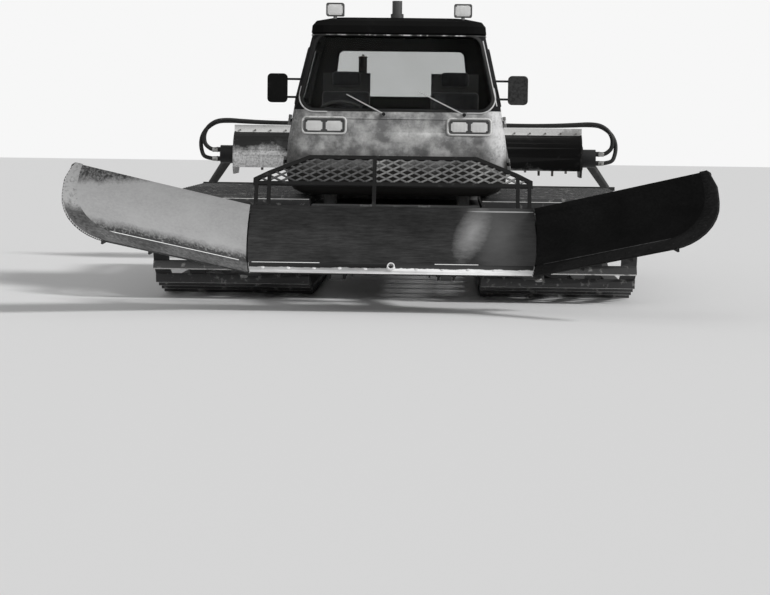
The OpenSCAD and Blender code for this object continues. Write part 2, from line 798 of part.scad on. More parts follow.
module engine_housing() {
    color("#8f8e8b") difference() {
        translate([-housing_w / 2, housing_front, deck_top])
            cube([housing_w, housing_rear - housing_front, housing_top - deck_top]);
        translate([-housing_w / 2 + housing_t, housing_front + housing_t, deck_top - 1])
            cube([housing_w - 2 * housing_t, housing_rear - housing_front - 2 * housing_t,
                housing_top - deck_top + 1 - housing_t]);
        translate([-housing_w / 2 + 60, lid_front + 50, deck_top])
            cube([housing_w - 120, housing_rear - lid_front - 110, housing_top]);
        for (k = [0:7]) translate([0, (housing_front + housing_rear) / 2, deck_top + 130 + k * 60])
            cube([housing_w + 100, 900, 22], center = true);
        for (k = [0:7]) translate([0, housing_rear, deck_top + 130 + k * 60])
            cube([900, 200, 22], center = true);
    }
    color("#55585a") both_sides() for (s = [-1, 1]) translate([450 + s * 41, lid_hinge.x, lid_hinge.y]) {
        bar_x(26, 30);
        translate([-15, -13, -16]) cube([30, 26, 16]);
    }
    color("#55585a") both_sides() translate([450, lid_hinge.x, lid_hinge.y]) bar_x(hinge_pin_d, 100);
}

lid_front = housing_front + 150;
lid_hinge = [lid_front - 16, housing_top + 16];

module engine_lid() {
    color("#8f8e8b") difference() {
        translate([-housing_w / 2, lid_front, housing_top + seat])
            cube([housing_w, housing_rear - lid_front, lid_t]);
        for (k = [0:6]) translate([0, 260 + k * 120, housing_top]) cube([900, 40, 100], center = true);
    }
    color("#55585a") both_sides() translate([450, lid_hinge.x, lid_hinge.y]) difference() {
        union() {
            bar_x(26, 50);
            translate([-25, 0, 0]) cube([50, 60, 13]);
        }
        bar_x(hinge_pin_d + 2 * fit, 60);
    }
}

stack_x = -352;

module exhaust_stack() {
    color("#6e665e") translate([stack_x, housing_front + 66, housing_top + seat]) {
        cylinder(d = 116, h = 300);
        cylinder(d = 76, h = 600);
    }
}

bed_front = housing_rear + 30;
bed_rear = 1700;
bed_w = 1800;
bed_z = 1180;

module load_bed() {
    color("#3a3c3e") {
        translate([-bed_w / 2, bed_front, bed_z]) cube([bed_w, bed_rear - bed_front, 40]);
        for (x = [-500, 440], y = [bed_front + 60, bed_rear - 260])
            translate([x, y, deck_top]) cube([60, 60, bed_z - deck_top]);
    }
}

module tail_lamps() {
    color("#7a2018") both_sides() translate([bed_w / 2 - 130, bed_rear - 50, bed_z - 40 - seat])
        upright(40) polygon(rounded_box(180, 80, 12));
}

hitch_bore_d = 32;

module tow_hitch() {
    color("#3c3f41") difference() {
        translate([-90, frame_rear, 400]) cube([180, 120, 24]);
        translate([0, frame_rear + 75, 390]) cylinder(d = hitch_bore_d, h = 60);
    }
}

// Rams

// Barrel along y from its eye at the origin, whose pin lies along x, with a neck that clears the lugs
module ram_barrel(len, d, rod_d, pin, eye_w) {
    neck = pin + 20;
    difference() {
        union() {
            bar_x(2 * pin, eye_w);
            bar_y(eye_w * 0.86, neck + 1);
            translate([0, neck, 0]) bar_y(d, len - neck);
        }
        bar_x(pin + 2 * fit, eye_w + 2);
        translate([0, neck + 6, 0]) bar_y(rod_d + 2 * fit, len);
    }
}

// Rod along y from inside the barrel to its eye at len
module ram_rod(len, start, d, pin, eye_w) {
    translate([0, start, 0]) bar_y(d, len - start - pin * 0.6);
    translate([0, len, 0]) bar_x(2 * pin, eye_w);
}

// Places a ram that lies in the side view from a to b, at x
module ram_at(x, a, b) {
    translate([x, a.x, a.y]) rotate([atan2(b.y - a.y, b.x - a.x), 0, 0]) children();
}

// Outline of a flat link between the points a and b with round ends of radius ra and rb
function link_outline(a, b, ra, rb) = let(
        t = atan2(b.y - a.y, b.x - a.x),
        h = acos((ra - rb) / norm(b - a))
    ) concat(
        [for (k = [0:8]) a + ra * [cos(t + h + (360 - 2 * h) * k / 8), sin(t + h + (360 - 2 * h) * k / 8)]],
        [for (k = [0:8]) b + rb * [cos(t - h + 2 * h * k / 8), sin(t - h + 2 * h * k / 8)]]
    );

// Blade

// Lower edge of the blade, y and z
blade_foot = [-3080, 310];
// Pins of the blade in its own upright side view: its pivot on the lift frame, and the tilt ram's ear
tilt_pin_local = [265, 100];
tilt_ear_local = [225, 430];

module blade_place() {
    translate([0, blade_foot.x, blade_foot.y]) rotate([-blade_lean, 0, 0]) children();
}

// A point of the blade's side view carried to its leaning place
function leaned(p) = blade_foot
    + [p.x * cos(blade_lean) + p.y * sin(blade_lean), p.y * cos(blade_lean) - p.x * sin(blade_lean)];

tilt_pin = leaned(tilt_pin_local);
tilt_ear = leaned(tilt_ear_local);
// Places on the lift frame, as a share of the way from its chassis pins to the blade's pins
front_tube = lift_pin + (tilt_pin - lift_pin) * 0.7;
rear_tube = lift_pin + (tilt_pin - lift_pin) * 0.26;
lift_ear = front_tube + [0, 150];
tilt_ram_pin = rear_tube + [-10, 200];
frame_tube_d = 120;
eye_w = 50;
tilt_eye_w = 60;

module lift_frame() {
    color("#3a3c3e") difference() {
        union() {
            both_sides() translate([arm_x, 0, 0]) across(arm_w) polygon(link_outline(lift_pin, tilt_pin, 66, 60));
            for (p = [front_tube, rear_tube]) translate([0, p.x, p.y]) bar_x(frame_tube_d, 2 * arm_x);
            lug_pair(0, tilt_eye_w + 2 * side_gap, [rear_tube + [-50, 20], rear_tube + [50, 20]], tilt_ram_pin, 90);
            translate([0, tilt_ram_pin.x, tilt_ram_pin.y]) bar_x(ram_pin_d, tilt_eye_w + 3 * lug_t);
            both_sides() lug_pair(lift_ram_x, eye_w + 2 * side_gap,
                [front_tube + [-50, 20], front_tube + [50, 20]], lift_ear, 84);
        }
        for (p = [lift_pin, tilt_pin]) translate([0, p.x, p.y]) bar_x(pin_d + 2 * fit, 3 * arm_x);
    }
}

lift_ram_len = norm(lift_ear - lift_ram_pin);
lift_barrel_len = 440;
lift_rod_start = 175;

module lift_barrels() {
    color("#2f3133") both_sides() ram_at(lift_ram_x, lift_ram_pin, lift_ear)
        ram_barrel(lift_barrel_len, ram_d, rod_d, ram_pin_d, eye_w);
}

module lift_rods() {
    color("#c4c6c8") both_sides() ram_at(lift_ram_x, lift_ram_pin, lift_ear)
        ram_rod(lift_ram_len, lift_rod_start, rod_d, ram_pin_d, eye_w);
}

tilt_ram_len = norm(tilt_ear - tilt_ram_pin);
tilt_barrel_len = 320;
tilt_rod_start = 130;
tilt_rod_d = 50;

module tilt_barrel() {
    color("#2f3133") ram_at(0, tilt_ram_pin, tilt_ear)
        ram_barrel(tilt_barrel_len, ram_d + 10, tilt_rod_d, ram_pin_d, tilt_eye_w);
}

module tilt_rod() {
    color("#c4c6c8") ram_at(0, tilt_ram_pin, tilt_ear)
        ram_rod(tilt_ram_len, tilt_rod_start, tilt_rod_d, ram_pin_d, tilt_eye_w);
}

hollow_y = -sqrt(blade_r * blade_r - blade_h * blade_h / 4);
strip_t = 14;
beam_rear = 150;

// A round body along x whose surface is the mouldboard's face moved back by e
module hollow_bar(e, w) {
    translate([0, hollow_y, blade_h / 2]) rotate([0, 90, 0]) cylinder(r = blade_r + e, h = w, center = true, $fn = 96);
}

// Stiffeners behind the face: height from, height to, depth from the face plane
BEAMS = [[60, 140, beam_rear], [230, 330, beam_rear], [410, 490, beam_rear]];

// The mouldboard from x0 to x1 with beams over their own shorter stretch and ribs at the places given
module mouldboard(x0, x1, beam0, beam1, ribs, beams) {
    difference() {
        union() {
            intersection() {
                hollow_bar(blade_t, 6000);
                translate([x0, -5, 0]) cube([x1 - x0, 150, blade_h]);
            }
            for (b = beams) translate([beam0, 20, b[0]]) cube([beam1 - beam0, b[2] - 20, b[1] - b[0]]);
            for (x = ribs) translate([x - 8, 10, 20]) cube([16, beam_rear - 30, blade_h - 40]);
            translate([x0, 2, blade_h - 22]) cube([x1 - x0, 42, 22]);
        }
        hollow_bar(0, 7000);
    }
}

// A layer of the given thickness in front of the face
module face_layer(t, x0, x1, z1) {
    intersection() {
        difference() {
            hollow_bar(1, 6000);
            hollow_bar(-t, 7000);
        }
        translate([x0, -60, 0]) cube([x1 - x0, 200, z1]);
    }
}

wing_pin_y = 150;
wing_pin_d = 40;
wing_barrel_d = 80;
// How much further forward a wing swings than it stands
wing_more = 3;
mitre = (wing_angle + wing_more) / 2;
end_gap = 4;
// Hinge barrels of the middle section and of a wing: foot height and height
MIDDLE_BARRELS = [[30, 60], [470, 60]];
WING_BARRELS = [[92, 60], [408, 60]];
// Pins of a wing's ram: on the middle section from the centre plane, and on the wing from its hinge line
wing_ram_foot = [blade_w / 2 - 540, wing_pin_y + 130];
wing_ram_ear = [300, 300];
wing_ram_z = 280;

// Where the ram's ear on the right wing lies as the wing stands
wing_ear_at = [blade_w / 2, wing_pin_y] + [
    wing_ram_ear.x * cos(wing_angle) + wing_ram_ear.y * sin(wing_angle),
    wing_ram_ear.y * cos(wing_angle) - wing_ram_ear.x * sin(wing_angle)
];

// Cuts the end of a section along the mitre plane, with the material on the side of negative x
module mitre_cut() {
    far = 700;
    translate([0, wing_pin_y, -60]) linear_extrude(blade_h + 120)
        polygon([[-end_gap, 0], [-end_gap - far * tan(mitre), -far], [far, -far], [far, 0]]);
}

// A flat eye seen from above, t thick around height z: a plate from the beam to the pin at p
module flat_lugs(p, w, d) {
    for (s = [-1, 1]) translate([0, 0, wing_ram_z + s * (w + lug_t) / 2 - lug_t / 2]) linear_extrude(lug_t)
        polygon(lug_outline([[p.x - 70, beam_rear - 2], [p.x + 70, beam_rear - 2]], p, d / 2));
}

module hinge_barrels(rows, reach) {
    for (b = rows) translate([0, wing_pin_y, b[0]]) {
        cylinder(d = wing_barrel_d, h = b[1]);
        translate([min(0, reach), -42, 0]) cube([abs(reach), 60, b[1]]);
    }
}

tow_eye_z = 64;
tow_eye_d = 34;

module blade_centre() {
    blade_place() color("#4b4d4e") {
        difference() {
            union() {
                mouldboard(-blade_w / 2, blade_w / 2, -blade_w / 2 + 110, blade_w / 2 - 110,
                    [-880, -720, -300, 300, 720, 880], BEAMS);
                face_layer(strip_t, -blade_w / 2, blade_w / 2, strip_h);
                translate([0, -14, tow_eye_z]) bar_y(70, 110);
            }
            both_sides() translate([blade_w / 2, 0, 0]) mitre_cut();
            translate([0, -40, tow_eye_z]) bar_y(tow_eye_d, 400);
        }
        both_sides() {
            translate([blade_w / 2, 0, 0]) {
                hinge_barrels(MIDDLE_BARRELS, -130);
                translate([0, wing_pin_y, 24]) cylinder(d = wing_pin_d, h = blade_h - 48);
            }
            flat_lugs(wing_ram_foot, eye_w + 2 * side_gap, 84);
            translate([wing_ram_foot.x, wing_ram_foot.y, wing_ram_z - 50]) cylinder(d = ram_pin_d, h = 100);
            lug_pair(arm_x, arm_w + 2 * side_gap, [[beam_rear - 2, 138], [beam_rear - 2, 62]], tilt_pin_local, 110);
            translate([arm_x, tilt_pin_local.x, tilt_pin_local.y]) bar_x(pin_d, arm_w + 2 * side_gap + 3 * lug_t);
        }
        lug_pair(0, tilt_eye_w + 2 * side_gap, [[beam_rear - 2, 488], [beam_rear - 2, 412]], tilt_ear_local, 90);
    }
}

guard_foot = 738;
guard_half = 1100;
guard_bar = 30;
guard_y = 10;

// Half of the guard's upper edge from the middle out, drawn in by e: x and z
function guard_edge(e) = [
    [660 - e * 0.3, guard_top - e], [980 - e * 0.7, guard_top - 135 - e * 0.8], [guard_half - e, guard_top - 198 - e * 0.7]
];

function guard_outline(e) = concat(
    [[-guard_half + e, guard_foot + e], [guard_half - e, guard_foot + e]],
    [for (i = [2:-1:0]) guard_edge(e)[i]],
    [for (i = [0:2]) [-guard_edge(e)[i].x, guard_edge(e)[i].y]]
);

// Height of the guard's upper edge at x
function guard_height(x) = let(g = guard_edge(0), a = abs(x))
    a < g[0].x ? g[0].y
    : a < g[1].x ? g[0].y + (g[1].y - g[0].y) * (a - g[0].x) / (g[1].x - g[0].x)
    : g[1].y + (g[2].y - g[1].y) * (a - g[1].x) / (g[2].x - g[1].x);

mesh_t = 6;
strand = 8;
// Posts of the guard from the centre plane
GUARD_POSTS = [-1075, -975, -145, 983, 1075];

module blade_guard() {
    blade_place() color("#2a2c2e") translate([0, guard_y, 0]) {
        translate([0, 10, 0]) difference() {
            upright(mesh_t) polygon(guard_outline(guard_bar / 2));
            for (row = [0:ceil((guard_top - guard_foot) / diamond_h * 2)],
                    col = [-ceil(guard_half / diamond_w):ceil(guard_half / diamond_w)])
                let(x = (col + (row % 2) / 2) * diamond_w, z = guard_foot + row * diamond_h / 2)
                if (abs(x) < guard_half - 10 && z < guard_height(x) - 8)
                    translate([x, -10, z]) upright(40) polygon([
                        [-diamond_w / 2 + strand, 0], [0, -diamond_h / 2 + strand / 2],
                        [diamond_w / 2 - strand, 0], [0, diamond_h / 2 - strand / 2]
                    ]);
        }
        difference() {
            upright(guard_bar) polygon(guard_outline(0));
            translate([0, -1, 0]) upright(guard_bar + 2) polygon(guard_outline(guard_bar));
        }
        for (x = GUARD_POSTS) translate([x - guard_bar / 2, 0, blade_h])
            cube([guard_bar, guard_bar, guard_height(x) - blade_h - 10]);
    }
}

// Front outline of a wing from its hinge line: x and z
function wing_outline() = concat(
    [[-200, 0]],
    corner([0, 0], [wing_len, 0], [wing_len, blade_h], wing_r, 8),
    [[wing_len, blade_h * 0.8], [wing_len - 40, blade_h], [-200, blade_h]]
);

module wing_place() {
    blade_place() translate([blade_w / 2, wing_pin_y, 0]) rotate([0, 0, -wing_angle]) translate([0, -wing_pin_y, 0])
        children();
}

module wing() {
    difference() {
        union() {
            intersection() {
                union() {
                    mouldboard(0, wing_len + 10, 110, wing_len * 0.8, [118, 420, 850, 1250], [BEAMS[1]]);
                    difference() {
                        face_layer(strip_t, 0, wing_len + 10, blade_h);
                        translate([-strip_h, -100, strip_h]) upright(300) polygon(wing_outline());
                    }
                }
                translate([0, -100, 0]) upright(400) polygon(wing_outline());
            }
            hinge_barrels(WING_BARRELS, 150);
            flat_lugs(wing_ram_ear + [0, wing_pin_y], eye_w + 2 * side_gap, 84);
        }
        mirror([1, 0, 0]) mitre_cut();
        translate([0, wing_pin_y, 0]) cylinder(d = wing_pin_d + 2 * fit, h = blade_h);
    }
}

module wing_left() {
    color("#a5a5a3") mirror([1, 0, 0]) wing_place() wing();
}

module wing_right() {
    color("#a5a5a3") wing_place() wing();
}

wing_ram_len = norm(wing_ear_at - wing_ram_foot);
wing_barrel_len = 600;
wing_rod_start = 225;

// Places a wing's ram, which lies flat, with its pins upright
module wing_ram_place() {
    d = wing_ear_at - wing_ram_foot;
    blade_place() translate([wing_ram_foot.x, wing_ram_foot.y, wing_ram_z])
        rotate([0, 0, atan2(d.y, d.x) - 90]) rotate([0, 90, 0]) children();
}

module wing_barrel() {
    color("#2f3133") wing_ram_place() ram_barrel(wing_barrel_len, ram_d - 8, rod_d, ram_pin_d, eye_w);
}

module wing_rod() {
    color("#c4c6c8") wing_ram_place() ram_rod(wing_ram_len, wing_rod_start, rod_d, ram_pin_d, eye_w);
}

module wing_barrel_left() {
    mirror([1, 0, 0]) wing_barrel();
}

module wing_barrel_right() {
    wing_barrel();
}

module wing_rod_left() {
    mirror([1, 0, 0]) wing_rod();
}

module wing_rod_right() {
    wing_rod();
}

// Tiller

// Length of the tiller's arms and links, and the angle that they stand at
rear_reach = 1000;
rear_angle = 38.3;
rear_way = [cos(rear_angle), sin(rear_angle)];
arm_end = rear_pin + rear_reach * rear_way;
rear_arm_w = 80;
rear_link_w = 50;
// Ear of the rear rams, along the arms and above their middle line, and the cross tube that carries it
rear_ear = rear_pin + 220 * rear_way + 60 * [-rear_way.y, rear_way.x];
rear_tube_at = rear_pin + 330 * rear_way;

module rear_arms() {
    color("#3a3c3e") difference() {
        union() {
            both_sides() translate([rear_arm_x, 0, 0])
                across(rear_arm_w) polygon(link_outline(rear_pin, arm_end, 60, 55));
            translate([0, rear_tube_at.x, rear_tube_at.y]) bar_x(100, 2 * rear_arm_x);
            both_sides() lug_pair(rear_ram_x, eye_w + 2 * side_gap,
                [rear_tube_at + [6, -35], rear_tube_at + [-6, 35]], rear_ear, 80);
        }
        for (p = [rear_pin, arm_end]) translate([0, p.x, p.y]) bar_x(pin_d + 2 * fit, 3 * rear_arm_x);
    }
}

module rear_links() {
    color("#3a3c3e") difference() {
        both_sides() translate([rear_link_x, 0, link_rise])
            across(rear_link_w) polygon(link_outline(rear_pin, arm_end, 40, 40));
        for (p = [rear_pin, arm_end]) translate([0, p.x, p.y + link_rise])
            bar_x(ram_pin_d + 2 * fit, 3 * rear_link_x);
    }
}

rear_ram_len = norm(rear_ear - rear_ram_pin);
rear_barrel_len = 385;
rear_rod_start = 85;

module rear_barrels() {
    color("#2f3133") both_sides() ram_at(rear_ram_x, rear_ram_pin, rear_ear)
        ram_barrel(rear_barrel_len, ram_d, rod_d, ram_pin_d, ram_d);
}

module rear_rods() {
    color("#c4c6c8") both_sides() ram_at(rear_ram_x, rear_ram_pin, rear_ear)
        ram_rod(rear_ram_len, rear_rod_start, rod_d, ram_pin_d, eye_w);
}

// Axis of the cutter drum
drum_at = [arm_end.x + 345, 1130];
hood_r = 245;
// Direction in which the hood's rear slope falls, and its length
hood_fall = 38;
hood_slope = 330;
beam_z = 1336;
beam_h = 105;
beam_w = 150;
plate_t = 20;
plate_x = hood_w / 2 - plate_t;
shaft_d = 70;

// Side outline of the hood at radius r from the drum's axis, from its front lip over the top to its rear lip
function hood_line(r) = let(a = 90 - hood_fall) concat(
    [[-r, -130]],
    [for (k = [0:10]) [r * cos(180 - (180 - a) * k / 10), r * sin(180 - (180 - a) * k / 10)]],
    [[r * cos(a) + hood_slope * sin(a), r * sin(a) - hood_slope * cos(a)]]
);

function flipped(v) = [for (i = [len(v) - 1:-1:0]) v[i]];

module tiller_hood() {
    color("#2b2d2f") {
        translate([0, drum_at.x, drum_at.y]) {
            across(hood_w - 2 * plate_t) polygon(concat(hood_line(hood_r), flipped(hood_line(hood_r - hood_t))));
            both_sides() difference() {
                translate([plate_x + plate_t / 2, 0, 0]) across(plate_t) polygon(concat(
                    hood_line(hood_r + 6), [[420, -60], [240, -200], [-200, -200]]));
                bar_x(shaft_d + 2 * fit, 3 * plate_x);
            }
        }
        both_sides() translate([plate_x + 1, comb_pin.x, comb_pin.y])
            rotate([0, 90, 0]) cylinder(d = pin_d, h = comb_arm_x + comb_arm_t / 2 + 14 - plate_x);
        for (x = [-1200, -400, 400, 1200]) translate([x - 10, drum_at.x - 60, drum_at.y + hood_r - 50])
            cube([20, 150, beam_z - drum_at.y - hood_r + 60]);
    }
    color("#c9cac8") translate([-hood_w / 2, drum_at.x - 60, beam_z]) cube([hood_w, beam_w, beam_h]);
    color("#2b2d2f") both_sides() {
        lug_pair(rear_arm_x, rear_arm_w + 2 * side_gap,
            [drum_at + [-hood_r + 2, -90], drum_at + [-hood_r + 2, 60]], arm_end, 110);
        translate([rear_arm_x, arm_end.x, arm_end.y]) bar_x(pin_d, rear_arm_w + 2 * side_gap + 3 * lug_t);
        lug_pair(rear_link_x, rear_link_w + 2 * side_gap,
            [[drum_at.x - 58, beam_z + 4], [drum_at.x - 58, beam_z + beam_h - 4]], arm_end + [0, link_rise], 90);
        translate([rear_link_x, arm_end.x, arm_end.y + link_rise])
            bar_x(ram_pin_d, rear_link_w + 2 * side_gap + 3 * lug_t);
    }
}

// Hinge of the smoothing frame on the hood's end plates, and the middle of its lower bar
comb_pin = drum_at + [300, 30];
comb_bar = [comb_pin.x + 400, 796];

comb_arm_x = plate_x + plate_t + 45;
comb_arm_t = 60;

motor_len = 150;
port_len = 32;
port_z = 48;

module tiller_drives() {
    color("#3c3f41") both_sides() translate([plate_x + plate_t, drum_at.x, drum_at.y]) {
        translate([motor_len / 2, 0, 0]) bar_x(190, motor_len);
        translate([8, 0, 0]) bar_x(250, 16);
        for (z = [-port_z, port_z]) translate([motor_len + port_len / 2 - 1, 0, z]) bar_x(hose_d + 8, port_len);
    }
}

// Rings of teeth on the cutter drum, teeth in a ring, and the turn from ring to ring
ring_count = 24;
ring_teeth = 3;
ring_turn = 25;
drum_w = hood_w - 2 * plate_t - 120;

module cutter_drum() {
    color("#4f4a45") translate([0, drum_at.x, drum_at.y]) {
        bar_x(2 * drum_r, drum_w);
        bar_x(shaft_d, 2 * (plate_x + plate_t - 2));
        for (i = [0:ring_count - 1], k = [0:ring_teeth - 1])
            translate([(i + 0.5 - ring_count / 2) * drum_w / ring_count, 0, 0])
                rotate([i * ring_turn + k * 360 / ring_teeth, 0, 0])
                    across(24) polygon([[-26, drum_r - 8], [26, drum_r - 8], [14, tooth_r], [-8, tooth_r]]);
    }
}

tine_pitch = 60;
tine_len = 70;

// Outline of the comb: x and z
function comb_outline() = let(n = floor(comb_w / tine_pitch), w = n * tine_pitch) concat(
    [[w / 2, 0], [-w / 2, 0]],
    [for (i = [0:n - 1]) each [
        [-w / 2 + i * tine_pitch + 8, -tine_len], [-w / 2 + i * tine_pitch + 30, -tine_len],
        [-w / 2 + i * tine_pitch + 44, -20], [-w / 2 + i * tine_pitch + tine_pitch - 4, -20]
    ]]
);

module smoothing_frame() {
    color("#2b2d2f") {
        difference() {
            both_sides() {
                hull() {
                    translate([comb_arm_x, comb_pin.x, comb_pin.y]) bar_x(90, comb_arm_t, $fn = 32);
                    translate([comb_w / 2 - 90, comb_bar.x, comb_bar.y]) bar_x(60, comb_arm_t, $fn = 32);
                }
            }
            translate([0, comb_pin.x, comb_pin.y]) bar_x(pin_d + 2 * fit, comb_w);
        }
        translate([-comb_w / 2, comb_bar.x - 20, comb_bar.y - 20]) cube([comb_w, 40, 40]);
        translate([0, comb_bar.x + 8, comb_bar.y - 18]) upright(12) polygon(comb_outline());
    }
}

valve_w = 580;
port_end = plate_x + plate_t + motor_len + port_len - 1 + seat;

// Routes of the hoses on the right-hand half: points from the middle valve block along the beam to a motor port
HOSES = [
    [[valve_w / 2 + seat, 0, 338], [700, -6, 336], [1300, 0, 336], [1750, 4, 352], [1960, 6, 362], [2090, 6, 300],
        [2140, 4, 190], [2110, 2, 90], [port_end + 70, 0, port_z], [port_end + 35, 0, port_z], [port_end, 0, port_z]],
    [[valve_w / 2 + seat, 50, 338], [720, 54, 336], [1280, 50, 336], [1730, 56, 344], [1930, 60, 350], [2110, 60, 280],
        [2190, 50, 120], [2175, 24, -10], [port_end + 80, 0, -port_z], [port_end + 35, 0, -port_z],
        [port_end, 0, -port_z]]
];

// A smooth way through the points of a route, with n steps from each point to the next
function smooth(pts, n) = let(m = len(pts)) concat(
    [for (i = [0:m - 2], k = [0:n - 1]) let(
            a = pts[max(i - 1, 0)], b = pts[i], c = pts[i + 1], d = pts[min(i + 2, m - 1)], t = k / n
        ) 0.5 * (2 * b + (c - a) * t + (2 * a - 5 * b + 4 * c - d) * t * t + (3 * b - a - 3 * c + d) * t * t * t)],
    [pts[m - 1]]
);

// A round hose with flat ends along a route that stays square to a fixed direction at no point
module hose(route, d) {
    way = smooth(route, 3);
    m = len(way);
    sides = 8;
    dirs = [for (i = [0:m - 1]) unit(way[min(i + 1, m - 1)] - way[max(i - 1, 0)])];
    points = [for (i = [0:m - 1]) let(u = unit(cross(dirs[i], [0, 1, 0])), v = cross(dirs[i], u))
        for (k = [0:sides - 1]) way[i] + d / 2 * (cos(360 * k / sides) * u + sin(360 * k / sides) * v)];
    faces = concat(
        [[for (k = [0:sides - 1]) k]],
        [for (i = [0:m - 2], k = [0:sides - 1]) let(n = (k + 1) % sides)
            [i * sides + k, (i + 1) * sides + k, (i + 1) * sides + n, i * sides + n]],
        [[for (k = [sides - 1:-1:0]) (m - 1) * sides + k]]
    );
    polyhedron(points, faces);
}

module tiller_hoses() {
    color("#141516") both_sides() for (h = HOSES)
        translate([0, drum_at.x, drum_at.y]) hose(h, hose_d);
    color("#55585a") translate([-valve_w / 2, drum_at.x - 30, beam_z + beam_h + seat]) cube([valve_w, 110, 62]);
}

chassis_frame();
axle_tubes();
road_tyres();
road_rims();
final_drives();
sprockets();
track_left();
track_right();
deck_frame();
cab_mounts();
cab_shell();
cab_roof();
windscreen();
cab_windows();
headlamps();
dashboard();
steering_wheel();
seat_frames();
seat_cushions();
roof_lamps();
beacon();
mirrors();
wipers();
door_left();
door_right();
door_glass_left();
door_glass_right();
engine_block();
engine_housing();
engine_lid();
exhaust_stack();
load_bed();
tail_lamps();
tow_hitch();
blade_centre();
blade_guard();
wing_left();
wing_right();
wing_barrel_left();
wing_barrel_right();
wing_rod_left();
wing_rod_right();
lift_frame();
lift_barrels();
lift_rods();
tilt_barrel();
tilt_rod();
rear_arms();
rear_links();
rear_barrels();
rear_rods();
tiller_hood();
tiller_drives();
tiller_hoses();
cutter_drum();
smoothing_frame();
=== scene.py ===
import math

import bmesh
import bpy
from mathutils import Matrix, Vector
from mathutils.bvhtree import BVHTree


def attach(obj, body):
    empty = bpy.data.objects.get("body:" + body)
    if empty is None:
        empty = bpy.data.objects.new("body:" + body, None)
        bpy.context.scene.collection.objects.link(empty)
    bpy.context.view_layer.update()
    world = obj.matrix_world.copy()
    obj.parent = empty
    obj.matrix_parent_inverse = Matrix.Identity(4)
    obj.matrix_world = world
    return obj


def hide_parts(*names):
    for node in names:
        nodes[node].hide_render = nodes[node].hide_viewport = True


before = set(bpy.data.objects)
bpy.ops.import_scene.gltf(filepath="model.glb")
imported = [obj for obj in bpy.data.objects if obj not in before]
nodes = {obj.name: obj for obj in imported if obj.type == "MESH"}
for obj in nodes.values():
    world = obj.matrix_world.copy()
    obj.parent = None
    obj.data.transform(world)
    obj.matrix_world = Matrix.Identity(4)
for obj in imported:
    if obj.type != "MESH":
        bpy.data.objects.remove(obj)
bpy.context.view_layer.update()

# The viewpoint: a long lens at chest height, a little to the right of the machine's middle and almost square
# to the blade, tilted down so that the machine fills the upper half of the picture.
camera_data = bpy.data.cameras.new("viewpoint")
camera = bpy.data.objects.new("viewpoint", camera_data)
bpy.context.collection.objects.link(camera)
camera_data.sensor_width = 36.0
camera_data.lens = 103.1
camera_data.clip_end = 200.0
camera.matrix_world = (
    Matrix.Translation((0.45, -20.15, 1.5))
    @ Matrix.Rotation(math.radians(1.65), 4, "Z")
    @ Matrix.Rotation(math.radians(90 - 4.58), 4, "X")
    @ Matrix.Rotation(math.radians(0.7), 4, "Z")
)
bpy.context.scene.camera = camera

# The studio: a pale floor that runs far back, a white surround, one broad soft lamp high on the right and a
# weak one on the left, so that the left wing's face catches the light and the right wing's face stays dark.
def feed(tree, node, inputs):
    """Sets a node's inputs to values, or joins them to the outputs of other nodes."""
    for name, value in inputs.items():
        if isinstance(value, bpy.types.NodeSocket):
            tree.links.new(value, node.inputs[name])
        else:
            node.inputs[name].default_value = value


def new_node(tree, kind, inputs=None, **settings):
    """A shader node with its settings and what feeds its inputs."""
    made = tree.nodes.new("ShaderNode" + kind)
    for name, value in settings.items():
        setattr(made, name, value)
    feed(tree, made, inputs or {})
    return made


def shader_of(material):
    """A material's node tree and the shader in it."""
    return material.node_tree, material.node_tree.nodes["Principled BSDF"]


def new_material(name, inputs):
    """A material whose shader has these values."""
    made = bpy.data.materials.new(name)
    made.use_nodes = True
    feed(*shader_of(made), inputs)
    return made


floor_mesh = bpy.data.meshes.new("studio_floor")
sheet = bmesh.new()
bmesh.ops.create_grid(sheet, x_segments=1, y_segments=1, size=60.0)
sheet.to_mesh(floor_mesh)
sheet.free()
floor = bpy.data.objects.new("studio_floor", floor_mesh)
bpy.context.collection.objects.link(floor)
floor_mesh.materials.append(new_material("studio_floor", {
    "Base Color": (0.80, 0.80, 0.80, 1), "Roughness": 0.9, "Specular IOR Level": 0.2,
}))

surround = bpy.data.worlds.new("studio")
bpy.context.scene.world = surround
surround.use_nodes = True
tree = surround.node_tree
tree.nodes.clear()
soft_light = new_node(tree, "Background", {"Color": (1.0, 1.0, 1.0, 1), "Strength": 0.36})
white_back = new_node(tree, "Background", {"Color": (0.93, 0.93, 0.93, 1), "Strength": 1.0})
rays = new_node(tree, "LightPath").outputs
seen = new_node(tree, "Math", {0: rays["Is Camera Ray"], 1: rays["Is Transmission Ray"]}, operation="MAXIMUM")
choose = new_node(tree, "MixShader", {0: seen.outputs[0], 1: soft_light.outputs[0], 2: white_back.outputs[0]})
new_node(tree, "OutputWorld", {0: choose.outputs[0]})


def lamp(name, strength, azimuth, height, softness):
    """A far lamp at an angle round the machine, where 0 is in front of the blade and 90 its right."""
    data = bpy.data.lights.new(name, "SUN")
    data.energy = strength
    data.angle = math.radians(softness)
    thing = bpy.data.objects.new(name, data)
    bpy.context.collection.objects.link(thing)
    a, e = math.radians(azimuth), math.radians(height)
    way = Vector((math.sin(a) * math.cos(e), -math.cos(a) * math.cos(e), math.sin(e)))
    thing.rotation_euler = way.to_track_quat("Z", "Y").to_euler()
    thing.location = way * 20


lamp("broad_lamp", 2.5, 68, 32, 10)
lamp("weak_lamp", 0.35, -25, 35, 40)
bpy.context.scene.view_settings.view_transform = "Standard"

